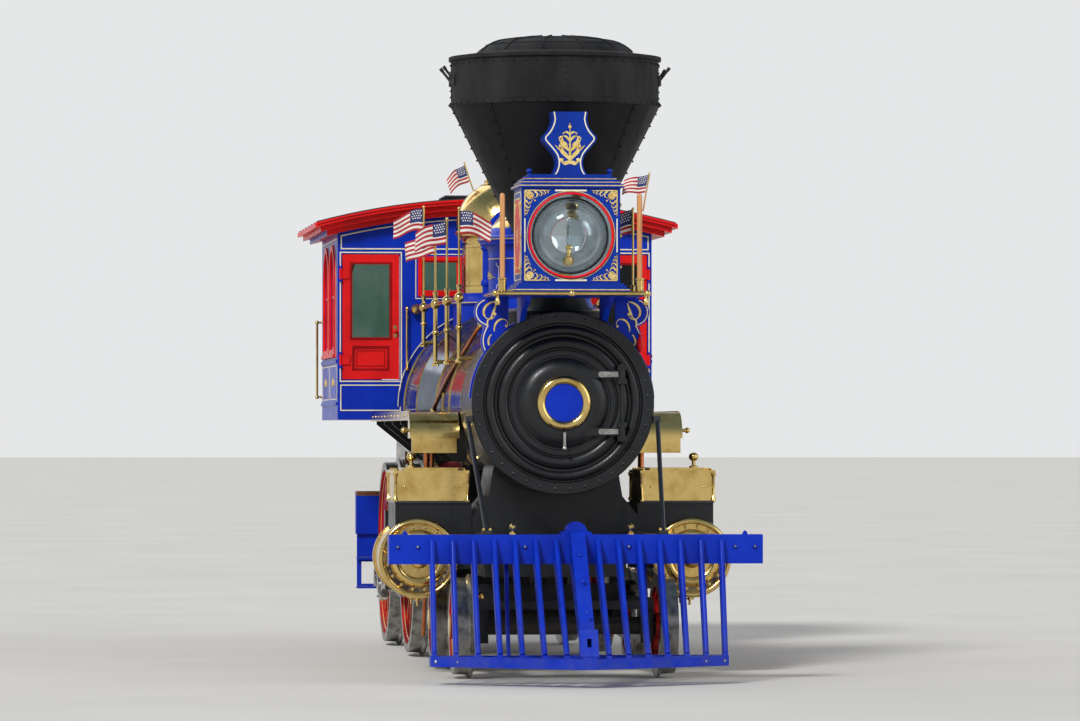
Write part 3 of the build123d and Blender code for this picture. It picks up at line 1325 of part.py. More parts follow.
def flag_poles():
    """Every pole's (station, foot y, foot h, top y, top h, radius) and flag's (heading, length, height).

    A heading is degrees round from straight to the right, positive towards the back.
    """
    poles = []
    post_top = 2890.0
    lamp_staff = LAMP_STATION - 5
    for side in (RIGHT, LEFT):
        poles.append(((lamp_staff, side * 500, platform_h, side * 500, 3490, 19), None))
    poles.append(((lamp_staff, 500 + 19 + 6 + seat, 3380, 572, 3650, 6), (28, 185, 130)))
    tops = (3460, 3420, 3370, 3600)
    headings = {RIGHT: (200, 16, 24, 12), LEFT: (18, 30, 14, 26)}
    for side in (RIGHT, LEFT):
        for (station, _), top, heading in zip(handrail_posts(), tops, headings[side]):
            poles.append(((station, side * 660, post_top, side * 660, top, 8), (heading, 260, 180)))
    crown_foot = height_on_arc(steam_crown, 258) + 2.9
    poles.append(((steam_dome_station, -258, crown_foot, -330, 3960, 6), (20, 190, 140)))
    return poles


def flagstaffs():
    """Wooden staffs in sockets on the lamp's board, and slim poles on the columns and steam dome."""
    staffs = []
    for (station, foot_y, foot_h, top_y, top_h, radius), _ in flag_poles():
        foot, top = (at(station), foot_y, RAIL + foot_h + seat), (at(station), top_y, RAIL + top_h)
        staff = rod_between(foot, top, radius)
        if radius > 10:
            staff += bar_z(station, foot_y, (foot[2], foot[2] + 90), radius + 9)
        staffs.append(staff)
    return Compound(staffs)


def flags():
    """Small cloth flags, each held by the top of its pole."""
    pieces = []
    for (station, foot_y, foot_h, top_y, top_h, radius), flag in flag_poles():
        if flag is None:
            continue
        heading, length, height = flag
        lean = degrees(atan2(top_y - foot_y, top_h - foot_h))
        cloth = Pos(0, -length / 2 - radius - seat, -height / 2 - 8) * Box(5, length, height)
        pieces.append(Pos(at(station), top_y, RAIL + top_h) * Rot(-lean, 0, 0) * Rot(0, 0, -heading) * cloth)
    return Compound(pieces)


def main():
    """Builds every piece and writes each to its own file."""
    os.makedirs("parts", exist_ok=True)
    last_pin = COUPLING_ROD_Y[1] + free + 16
    parts = {
        "frame_left": side_frame(),
        "frame_right": mirrored(side_frame()),
        "frame_ties": frame_ties(),
        "springs": springs(),
        "bumper_beam": bumper_beam(),
        "pilot": pilot(),
        "saddle": saddle(),
        "cylinders": both_sides(cylinder()),
        "cylinder_covers": cylinder_covers(),
        "steam_chests": steam_chests(),
        "guide_bars": guide_bars(),
        "guide_yoke": guide_yoke(),
        "valve_rods": valve_rods(),
        "smokebox": smokebox(),
        "smokebox_front": smokebox_front(),
        "smokebox_braces": smokebox_braces(),
        "stack": stack(),
        "headlamp_case": headlamp_case(),
        "headlamp_glass": headlamp_glass(),
        "headlamp_platform": headlamp_platform(),
        "boiler": boiler(),
        "boiler_bands": boiler_bands(),
        "sand_dome": sand_dome(),
        "steam_dome": steam_dome(),
        "whistle": whistle(),
        "bell_stand": bell_stand(),
        "running_boards": running_boards(),
        "board_noses": board_noses(),
        "handrails": handrails(),
        "feed_pipes": feed_pipes(),
        "cab_front": cab_front(),
        "cab_sides": cab_sides(),
        "cab_rear": cab_rear(),
        "cab_roof": cab_roof(),
        "cab_glass": cab_glass(),
        "cab_floor": cab_floor(),
        "cab_seats": cab_seats(),
        "backhead_fittings": backhead_fittings(),
        "rear_beam": rear_beam(),
        "drawbar": drawbar(),
        "flagstaffs": flagstaffs(),
        "flags": flags(),
        "truck_frame": truck_frame(),
        "truck_wheels_front": truck_wheelset(TRUCK_STATION - truck_wheelbase / 2),
        "truck_wheels_rear": truck_wheelset(TRUCK_STATION + truck_wheelbase / 2),
        "driver_wheels_front": driver_wheelset(front_driver_station, MAIN_ROD_Y[0] - 2 * free),
        "driver_wheels_rear": driver_wheelset(REAR_DRIVER_STATION, last_pin),
        "coupling_rod_left": coupling_rod(LEFT),
        "coupling_rod_right": coupling_rod(RIGHT),
        "crosshead_left": crosshead(LEFT),
        "crosshead_right": crosshead(RIGHT),
        "main_rod_left": main_rod(LEFT),
        "main_rod_right": main_rod(RIGHT),
        "bell": bell(),
        "smokebox_door": smokebox_door(),
        "number_plate": number_plate(),
        "cab_door_left": cab_door(LEFT),
        "cab_door_right": cab_door(RIGHT),
        "fire_door": fire_door(),
    }
    for name, shape in parts.items():
        export_step(shape, f"parts/{name}.step")


if __name__ == "__main__":
    main()
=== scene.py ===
from itertools import product
from math import atan2, cos, degrees, exp, hypot, pi, radians, sin, sqrt

import bmesh
import bpy
from mathutils import Matrix, Vector


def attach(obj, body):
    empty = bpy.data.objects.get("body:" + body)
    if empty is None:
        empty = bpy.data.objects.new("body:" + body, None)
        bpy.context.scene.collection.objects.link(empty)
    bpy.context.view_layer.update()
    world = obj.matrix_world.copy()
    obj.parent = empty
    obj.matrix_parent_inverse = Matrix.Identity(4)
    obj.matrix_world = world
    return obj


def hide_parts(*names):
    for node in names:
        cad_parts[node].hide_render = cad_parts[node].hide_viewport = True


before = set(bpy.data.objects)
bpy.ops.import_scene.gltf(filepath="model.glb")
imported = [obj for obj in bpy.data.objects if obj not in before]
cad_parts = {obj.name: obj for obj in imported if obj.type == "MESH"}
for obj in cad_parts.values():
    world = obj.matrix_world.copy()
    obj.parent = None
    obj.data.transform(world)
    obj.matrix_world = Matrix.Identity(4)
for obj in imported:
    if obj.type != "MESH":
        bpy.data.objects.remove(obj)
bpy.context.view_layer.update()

# Metres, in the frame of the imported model. A station is a distance back from the pilot's nose.
LENGTH = 9.65
MIDDLE = LENGTH / 2
RAIL = 0.028
AXIS = 1.99
AXIS_Z = RAIL + AXIS
CYLINDER_Y, CYLINDER_H = 1.02, 0.84
DRIVERS, DRIVER_RADIUS = (6.1, 8.54), 0.762
TRUCK_WHEELS, TRUCK_RADIUS = (1.835, 3.665), 0.355
SIDES = (1, -1)
NAMED_SIDES = (("left", 1), ("right", -1))
UP = Vector((0, 0, 1))
AHEAD = Vector((1, 0, 0))
LAMP, LAMP_H, LENS_H = 1.28, 2.7953, 3.2028


def at(station):
    """The x of a station."""
    return MIDDLE - station


def spot(station, y, h):
    """A point from its station, how far left it is and its height above the rail."""
    return Vector((at(station), y, RAIL + h))


def spin(angle, radius=1.0):
    """The two legs of a radius at an angle in radians."""
    return radius * cos(angle), radius * sin(angle)


def mm(*rows):
    """Rows of metres from rows of millimetres."""
    return [tuple(value / 1000 for value in row) for row in rows]


def new_object(name, data):
    """An object of its own in the scene."""
    made = bpy.data.objects.new(name, data)
    bpy.context.collection.objects.link(made)
    return made


def angles(count, shift=0.5):
    """Angles in radians, evenly round a circle."""
    return [2 * pi * (k + shift) / count for k in range(count)]


# Camera

def place_camera():
    """The photograph's viewpoint, with a longer lens so that the locomotive fills the frame."""
    camera = new_object("camera", bpy.data.cameras.new("camera"))
    camera.location = (44.625, -4.42, 1.788)
    aim = Vector((3.0, -0.17, 2.33))
    camera.rotation_euler = (aim - camera.location).to_track_quat("-Z", "Y").to_euler()
    camera.data.lens = 190
    camera.data.sensor_width = 36
    camera.data.clip_end = 2000
    bpy.context.scene.camera = camera


bpy.context.scene.view_settings.view_transform = "Standard"
place_camera()


# Materials

EVEN = (1, 1, 1)
LOOKS = {}


def colour(code):
    """A linear colour from an sRGB one of six hex digits."""
    parts = [int(code[i:i + 2], 16) / 255 for i in (0, 2, 4)]
    return tuple(p / 12.92 if p <= 0.04045 else ((p + 0.055) / 1.055) ** 2.4 for p in parts) + (1.0,)


class Tree:
    """A short way to write a material's nodes."""

    def __init__(self, owner):
        owner.use_nodes = True
        self.nodes = owner.node_tree.nodes
        self.links = owner.node_tree.links
        self.nodes.clear()

    def add(self, kind, inputs=None, **settings):
        item = self.nodes.new("ShaderNode" + kind)
        for key, value in settings.items():
            setattr(item, key, value)
        for key, value in (inputs or {}).items():
            if isinstance(value, bpy.types.NodeSocket):
                self.links.new(value, item.inputs[key])
            else:
                item.inputs[key].default_value = value
        return item

    def noise(self, scale, stretch=EVEN, detail=4, rough=0.55):
        """Noise in object space, stretched by dividing its frequency along each axis."""
        place = self.add("TexCoord").outputs["Object"]
        scaled = self.add("Mapping", {"Vector": place, "Scale": tuple(1 / s for s in stretch)})
        values = {"Vector": scaled.outputs[0], "Scale": scale, "Detail": detail, "Roughness": rough}
        return self.add("TexNoise", values).outputs["Fac"]

    def ramp(self, value, low, high, start=0.0, end=1.0):
        values = {"Value": value, "From Min": low, "From Max": high, "To Min": start, "To Max": end}
        return self.add("MapRange", values).outputs["Result"]

    def blend(self, fac, first, second):
        return self.add("Mix", {"Factor": fac, 6: first, 7: second}, data_type="RGBA").outputs[2]

    def maths(self, operation, first, second, **settings):
        return self.add("Math", {0: first, 1: second}, operation=operation, **settings).outputs[0]

    def bump(self, height, strength, distance):
        return self.add("Bump", {"Strength": strength, "Distance": distance, "Height": height}).outputs[0]

    def shade(self, shade, roughness, normal, more):
        values = {"Base Color": shade, "Roughness": roughness, "Normal": normal, **more}
        self.add("OutputMaterial", {0: self.add("BsdfPrincipled", values).outputs[0]})


def new_look(name):
    """A new material by that name, and the tree of its nodes."""
    LOOKS[name] = bpy.data.materials.new(name)
    return Tree(LOOKS[name])


def look(name, main, second, rough, mottle=(3.0, 0.45, 0.7), stretch=EVEN, metal=0.0, coat=0.0,
        bump=(70.0, 0.04), grain=EVEN, dust=None, spec=0.5):
    """A finish: two colours mottled together, uneven roughness, fine bump, and dust towards the ground."""
    tree = new_look(name)
    scale, low, high = mottle
    shade = tree.blend(tree.ramp(tree.noise(scale, stretch), low, high), colour(main), colour(second))
    roughness = tree.ramp(tree.noise(scale * 4.3, stretch, detail=6), 0.3, 0.75, *rough)
    if dust:
        tint, top, amount = dust
        height = tree.add("SeparateXYZ", {0: tree.add("TexCoord").outputs["Object"]}).outputs[2]
        fade = tree.ramp(height, 0.0, top, amount, 0.0)
        spots = tree.maths("MULTIPLY", fade, tree.ramp(tree.noise(9.0, detail=8), 0.35, 0.65))
        shade = tree.blend(spots, shade, colour(tint))
        roughness = tree.maths("ADD", roughness, spots, use_clamp=True)
    bumped = tree.bump(tree.noise(bump[0], grain, detail=5), bump[1], 0.002)
    tree.shade(shade, roughness, bumped, {
        "Metallic": metal, "Coat Weight": coat, "Coat Roughness": 0.06, "Specular IOR Level": spec})


def wood_look(name, light, dark, along):
    """Planed and varnished wood, its grain along one axis (0, 1 or 2)."""
    tree = new_look(name)
    stretch = tuple(14 if axis == along else 1 for axis in range(3))
    grain = tree.ramp(tree.noise(26.0, stretch, detail=6, rough=0.6), 0.35, 0.68)
    figure = tree.ramp(tree.noise(3.0, stretch, detail=2), 0.4, 0.6, 0.0, 0.6)
    shade = tree.blend(figure, tree.blend(grain, colour(light), colour(dark)), colour(dark))
    tree.shade(shade, tree.ramp(grain, 0, 1, 0.29, 0.47), tree.bump(grain, 0.2, 0.001), {
        "Coat Weight": 0.4, "Coat Roughness": 0.12})


def glass_look(name, tint, rough):
    """Old rolled glass with a faint wave."""
    tree = new_look(name)
    pale = tuple(0.8 * part + 0.2 for part in colour(tint))
    shade = tree.blend(tree.ramp(tree.noise(2.0), 0.3, 0.7, 0.0, 0.4), colour(tint), pale)
    tree.shade(shade, rough, tree.bump(tree.noise(5.0), 0.08, 0.002),
            {"Transmission Weight": 1.0, "IOR": 1.3})


def cloth_look(name, main, second):
    """Thin printed cotton with a fine weave."""
    tree = new_look(name)
    place = tree.add("TexCoord").outputs["Object"]
    waves = [tree.add("TexWave", {"Vector": place, "Scale": 160.0}, wave_type="BANDS", bands_direction=way)
             for way in "XZ"]
    weave = tree.maths("MULTIPLY", waves[0].outputs["Fac"], waves[1].outputs["Fac"])
    shade = tree.blend(tree.ramp(tree.noise(14.0), 0.35, 0.7), colour(main), colour(second))
    tree.shade(shade, tree.ramp(weave, 0, 1, 0.7, 0.85), tree.bump(weave, 0.3, 0.0006),
            {"Sheen Weight": 0.3})


def make_looks():
    """All finishes: main colour, second colour, lowest and highest roughness, then what differs."""
    dirt = ("6E6453", 0.9, 0.55)
    gloss, dull = (0.26, 0.4), (0.3, 0.42)
    look("blue", "0B31B2", "09279C", gloss, spec=0.16, dust=("5C5A58", 0.8, 0.3))
    look("deep_blue", "0A2386", "081A66", (0.28, 0.42), spec=0.16)
    # The lamp's blue is the body blue made darker: painted shade on the headlamp case.
    look("lamp_blue_shaded", "0B3397", "092A80", gloss, spec=0.16)
    look("red", "E41C1D", "CA1517", gloss, spec=0.16)
    look("dark_red", "9A0D12", "7C0A0E", dull, spec=0.16)
    look("wheel_red", "C4171A", "981114", (0.3, 0.5), spec=0.2, dust=dirt)
    look("cream", "F0E7C8", "E0D2A6", dull, spec=0.35)
    look("gilt", "F0D68C", "D8B25A", (0.28, 0.42), (30.0, 0.4, 0.65), metal=0.35)
    look("black", "17181A", "0E0F11", (0.28, 0.45), coat=0.45, bump=(40.0, 0.08))
    look("satin_black", "151618", "0C0D0F", (0.32, 0.48), coat=0.1, spec=0.35, bump=(26.0, 0.12))
    look("soot", "131315", "0A0A0B", (0.5, 0.75), (2.2, 0.38, 0.66), (1, 1, 5), spec=0.22,
            bump=(34.0, 0.25), grain=(1, 1, 2))
    look("soot_pale", "2A2929", "151516", (0.6, 0.85), (2.6, 0.36, 0.62), (1, 1, 3), spec=0.22,
            bump=(34.0, 0.25))
    look("iron", "34322F", "1F1D1B", (0.45, 0.65), metal=0.5, bump=(48.0, 0.3), dust=dirt)
    look("steel", "B4B3AF", "86847F", (0.2, 0.38), (12.0, 0.35, 0.7), (6, 1, 1), 1.0, bump=(150.0, 0.06),
            grain=(10, 1, 1))
    look("tyre", "9C9A96", "5F5B56", (0.25, 0.5), (14.0, 0.4, 0.7), metal=0.95, bump=(80.0, 0.12))
    look("brass", "DFC078", "BC9850", (0.1, 0.24), (7.0, 0.45, 0.75), metal=1.0, bump=(20.0, 0.05))
    look("copper", "C9784A", "8E4C2C", (0.2, 0.36), (9.0, 0.4, 0.7), metal=1.0)
    look("jacket", "566273", "3B4350", (0.1, 0.22), (4.0, 0.35, 0.7), metal=0.9, bump=(9.0, 0.1))
    look("mirror", "D5D9DB", "B2B9BE", (0.04, 0.12), (6.0, 0.4, 0.7), metal=1.0, bump=(6.0, 0.06))
    look("leather", "3A2118", "27150F", (0.4, 0.6), (14.0, 0.35, 0.7), bump=(120.0, 0.5))
    look("canvas", "2B2C30", "3A3A3C", (0.7, 0.9), (5.0, 0.35, 0.7), (3, 1, 1), spec=0.3, bump=(90.0, 0.4))
    look("dial", "F1EEE2", "E2DCC8", (0.3, 0.4))
    look("floor", "D9D6D0", "D2CFC9", (0.75, 0.9), (0.4, 0.35, 0.7), spec=0.2, bump=(12.0, 0.02))
    wood_look("wood_tall", "C98F55", "8F5A2C", 2)
    wood_look("wood_long", "8E5A30", "5C3518", 0)
    wood_look("wood_wide", "8A5A32", "5A371C", 1)
    wood_look("staff", "D79A5E", "B4743C", 2)
    glass_look("glass", "2C5645", 0.02)
    glass_look("lens", "E8EEF0", 0.01)
    cloth_look("cloth_red", "B8202A", "9C1822")
    cloth_look("cloth_white", "ECE8E0", "DDD7CC")
    cloth_look("cloth_blue", "1D2B6B", "16215A")


make_looks()


# Building faces

FACING = {"front": (Vector((0, 1, 0)), UP), "back": (Vector((0, -1, 0)), UP), "left": (-AHEAD, UP),
        "right": (AHEAD, UP), "up": (AHEAD, Vector((0, 1, 0)))}
BOX = [(0, 1, 3, 2), (4, 6, 7, 5), (0, 4, 5, 1), (2, 3, 7, 6), (0, 2, 6, 4), (1, 5, 7, 3)]


def board(facing, station, y=0, h=0):
    """A plane to draw on: (u, v, rise) go to the right, up and out of the surface that faces that way."""
    u, v = FACING[facing]
    matrix = Matrix((u, v, u.cross(v))).transposed().to_4x4()
    matrix.translation = spot(station, y, h)
    return matrix


def towards(origin, direction):
    """A frame whose Z runs along a direction."""
    matrix = Vector(direction).to_track_quat("Z", "Y").to_matrix().to_4x4()
    matrix.translation = Vector(origin)
    return matrix


def painted_mesh(name, points, faces, looks, smooth):
    """A mesh with a look and its shading for each face."""
    mesh = bpy.data.meshes.new(name)
    mesh.from_pydata(points, [], faces)
    names = sorted(set(looks))
    for item in names:
        mesh.materials.append(LOOKS[item])
    for polygon, item, soft in zip(mesh.polygons, looks, smooth):
        polygon.material_index = names.index(item)
        polygon.use_smooth = soft
    return mesh


class Craft:
    """Gathers the faces of one piece, each with its look, and makes the object from them."""

    def __init__(self, name, body="locomotive", slot="brass"):
        self.name, self.body, self.slot = name, body, slot
        self.points, self.faces, self.looks, self.smooth = [], [], [], []
        self.layers = 0

    def layer(self):
        """A small height of its own for each flat mark, so that no two crossing ones share a plane."""
        self.layers += 1
        return 0.00016 * (self.layers % 11)

    def put(self, points, faces, finish, smooth=False):
        base = len(self.points)
        self.points += [tuple(p) for p in points]
        self.faces += [tuple(base + i for i in face) for face in faces]
        self.looks += [finish] * len(faces)
        self.smooth += [smooth] * len(faces)

    def skin(self, rows, finish, closed=False, smooth=False):
        """Faces between rows of as many points each, and one over each end."""
        sides, total = len(rows[0]), len(rows) * len(rows[0])
        faces = []
        for row, k in product(range(len(rows) if closed else len(rows) - 1), range(sides)):
            a, b = row * sides + k, row * sides + (k + 1) % sides
            faces.append((a, b, (b + sides) % total, (a + sides) % total))
        if not closed:
            faces += [tuple(range(sides)), tuple(range(total - sides, total))]
        self.put([p for row in rows for p in row], faces, finish, smooth)

    def box(self, low, high, finish):
        self.put([(x, y, z) for x in (low[0], high[0]) for y in (low[1], high[1])
                for z in (low[2], high[2])], BOX, finish)

    def turned(self, profile, place, finish="brass", steps=20):
        """A solid of revolution of (radius, height) points, from the bottom up, at a point or in a frame."""
        if isinstance(place, (tuple, Vector)):
            place = Matrix.Translation(place)
        rows, points = [], []
        for radius, height in profile:
            if radius < 1e-6:
                rows.append([len(points)] * steps)
                points.append(place @ Vector((0, 0, height)))
                continue
            rows.append(list(range(len(points), len(points) + steps)))
            points += [place @ Vector((*spin(a, radius), height)) for a in angles(steps, 0)]
        faces = []
        for low, high in zip(rows, rows[1:]):
            for i in range(steps):
                j = (i + 1) % steps
                face = tuple(dict.fromkeys((low[i], low[j], high[j], high[i])))
                if len(face) > 2:
                    faces.append(face)
        if profile[0] != profile[-1]:
            faces += [tuple(rows[end]) for end in (0, -1) if profile[end][0] > 1e-6]
        self.put(points, faces, finish, smooth=True)

    def bar(self, start, end, radius, finish="brass", sides=12):
        start, end = Vector(start), Vector(end)
        self.turned([(radius, 0), (radius, (end - start).length)], towards(start, end - start), finish,
                sides)

    def ball(self, centre, radius, finish="brass", steps=12):
        profile = [(radius * sin(pi * k / 8), -radius * cos(pi * k / 8)) for k in range(9)]
        self.turned(profile, Vector(centre), finish, steps)

    def stud(self, point, direction, radius, finish="brass", sides=8, height=0.6):
        """A round head, or a six-sided nut with the end of its bolt."""
        rise = radius * height
        if sides == 6:
            profile = [(radius, rise * 1.3), (radius * 0.55, rise * 1.5), (radius * 0.5, rise * 2.2),
                    (0, rise * 2.3)]
        else:
            profile = [(radius * 0.92, rise * 0.45), (radius * 0.55, rise * 0.9), (0, rise)]
        self.turned([(radius, -0.003)] + profile, towards(point, direction), finish, sides)

    def tube(self, path, radius, finish="brass", sides=10, closed=False):
        """A round tube through points."""
        path = [Vector(p) for p in path]
        count = len(path)
        circle = [spin(turn, radius) for turn in angles(sides, 0)]
        rows, side = [], None
        for i, here in enumerate(path):
            before = path[i - 1] if i or closed else here
            after = path[(i + 1) % count] if i < count - 1 or closed else here
            along = (after - before).normalized()
            if side is None:
                side = along.orthogonal().normalized()
            side = (side - along * side.dot(along)).normalized()
            other = along.cross(side)
            rows.append([here + side * a + other * b for a, b in circle])
        self.skin(rows, finish, closed, smooth=True)

    def ring(self, place, radius, thick, finish="brass", steps=48, sides=8):
        """A wire bent into a circle about a frame's Z."""
        self.tube([place @ Vector((*spin(a, radius), 0)) for a in angles(steps, 0)], thick, finish, sides,
                True)

    def handle(self, end, wall, low, high, radius, knob, post):
        """An upright handle between two heights, with a knob and a post to the wall at each end."""
        low, high = RAIL + low, RAIL + high
        self.bar((*end, low), (*end, high), radius, "brass", 10)
        for z in (low, high):
            self.ball((*end, z), knob, "brass", 10)
            self.bar((*wall, z), (*end, z), post, "brass", 8)

    def ribbon(self, path, place, width, rise=0.003, finish="cream", closed=False, sink=0.002):
        """A flat band along (u, v) points on a board; width is a number or one for each point."""
        count = len(path)
        rows, widths = [], width if isinstance(width, list) else [width] * count
        rise += self.layer()
        for i, (u, v) in enumerate(path):
            ways = []
            if i or closed:
                ways.append(Vector((u - path[i - 1][0], v - path[i - 1][1])).normalized())
            if i < count - 1 or closed:
                after = path[(i + 1) % count]
                ways.append(Vector((after[0] - u, after[1] - v)).normalized())
            way = sum(ways, Vector((0, 0))).normalized()
            square = Vector((-way.y, way.x))
            stretch = 1.0
            if len(ways) == 2:
                stretch = 1 / max(0.35, abs(square.dot(Vector((-ways[0].y, ways[0].x)))))
            offset = square * widths[i] / 2 * stretch
            top = rise + (0.0 if closed else 0.0008 * i / count)
            corners = ((-1, -sink), (1, -sink), (1, top), (-1, top))
            rows.append([place @ Vector((u + du * offset.x, v + du * offset.y, h)) for du, h in corners])
        self.skin(rows, finish, closed)

    def panel(self, place, low, high, width=0.008, rise=0.002, finish="cream", notch=0.0, sink=0.002):
        """A line round a panel, with its corners square or turned in as quarter circles."""
        (u0, v0), (u1, v1) = low, high
        path = [(u0, v0), (u1, v0), (u1, v1), (u0, v1)]
        if notch:
            path = []
            for cu, cv, start in ((u1, v1, 270), (u0, v1, 0), (u0, v0, 90), (u1, v0, 180)):
                path += arc_path(cu, cv, notch, start, start - 90, 6)
        self.ribbon(path, place, width, rise, finish, True, sink)

    def slab(self, outline, place, rise, finish):
        """A flat plate of (u, v) points on a board."""
        self.skin([[place @ Vector((u, v, h)) for u, v in outline] for h in (-0.002, rise)], finish)

    def disc(self, u, v, radius, place, rise, finish="gilt", sides=14):
        rise += self.layer()
        self.turned([(radius, -0.002), (radius, rise * 0.6), (radius * 0.7, rise), (0, rise)],
                place @ Matrix.Translation((u, v, 0)), finish, sides)

    def frond(self, place, start, heading, length, turn, curl, width, bead=0.0):
        """A tapering gilt leaf that bends and then curls up, with a bead in its eye."""
        steps = 16
        u, v = start
        angle = radians(heading)
        path, widths = [(u, v)], [width * 0.45]
        for part in (step / steps for step in range(1, steps + 1)):
            angle += radians(turn + curl * part ** 2) / steps
            u += cos(angle) * length / steps
            v += sin(angle) * length / steps
            path.append((u, v))
            swell = 0.45 + 0.75 * sin(pi * min(1.0, part * 1.25)) if part < 0.6 else 1.1 * (1.15 - part)
            widths.append(width * swell)
        self.ribbon(path, place, widths, 0.003, "gilt")
        if bead:
            self.disc(u, v, bead, place, 0.0039)

    def fronds(self, place, side, table, u=0.0, v=0.0, size=1.0):
        """Fronds from (across, up, heading, length, turn, curl, width, bead), turned over on side -1."""
        for across, rise, heading, length, turn, curl, width, bead in table:
            self.frond(place, (u + side * across * size, v + rise * size),
                    heading if side > 0 else 180 - heading, length * size, turn * side, curl * side,
                    width * size, bead * size)

    def done(self):
        mesh = painted_mesh(self.name, self.points, self.faces, self.looks, self.smooth)
        mesh.validate()
        outward = bmesh.new()
        outward.from_mesh(mesh)
        bmesh.ops.recalc_face_normals(outward, faces=outward.faces)
        outward.to_mesh(mesh)
        outward.free()
        made = new_object(self.name, mesh)
        if any(self.smooth):
            mesh.set_sharp_from_angle(angle=radians(40))
        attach(made, self.body)
        return made


def grid(columns, rows, base=0):
    """The faces of a sheet of points in rows."""
    corners = (base + j * (columns + 1) + i for j in range(rows) for i in range(columns))
    return [(a, a + 1, a + columns + 2, a + columns + 1) for a in corners]


def arc_path(u, v, radius, start, end, steps):
    """Points along an arc, between two angles in degrees."""
    turns = [radians(start + (end - start) * k / steps) for k in range(steps + 1)]
    return [(u + radius * cos(a), v + radius * sin(a)) for a in turns]


def round_path(low, high, radius, steps=5):
    """A closed path round a panel with rounded corners."""
    (u0, v0), (u1, v1) = low, high
    path = []
    for cu, cv, start in ((u1 - radius, v1 - radius, 0), (u0 + radius, v1 - radius, 90),
            (u0 + radius, v0 + radius, 180), (u1 - radius, v0 + radius, 270)):
        path += arc_path(cu, cv, radius, start, start + 90, steps)
    return path


def piece(*where, **more):
    """Makes a piece with a function that fills it. The function's name is the piece's name."""
    def make(build):
        craft = Craft(build.__name__, *where, **more)
        build(craft)
        return craft.done()
    return make


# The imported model's own pieces

def paint(node, finish, *rules):
    """Gives a CAD node its finish, and another one to the faces that a rule picks by centre and normal."""
    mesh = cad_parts[node].data
    mesh.materials.clear()
    for name in [finish] + [name for name, _ in rules]:
        mesh.materials.append(LOOKS[name])
    for polygon in mesh.polygons:
        polygon.material_index = 0
        for index, (_, test) in enumerate(rules):
            if test(polygon.center, polygon.normal):
                polygon.material_index = index + 1


def from_axis(c, z=AXIS_Z, y=0.0):
    """How far a point is from an axis along the locomotive."""
    return hypot(abs(c.y) - y, c.z - z)


def paint_wheels(node, station, radius, *more):
    """Red wheels with a steel tyre and a dark axle."""
    x, z = at(station), RAIL + radius
    paint(node, "wheel_red", ("tyre", lambda c, n: hypot(c.x - x, c.z - z) > radius - 0.066),
            ("iron", lambda c, n: abs(c.y) < 0.679), *more)


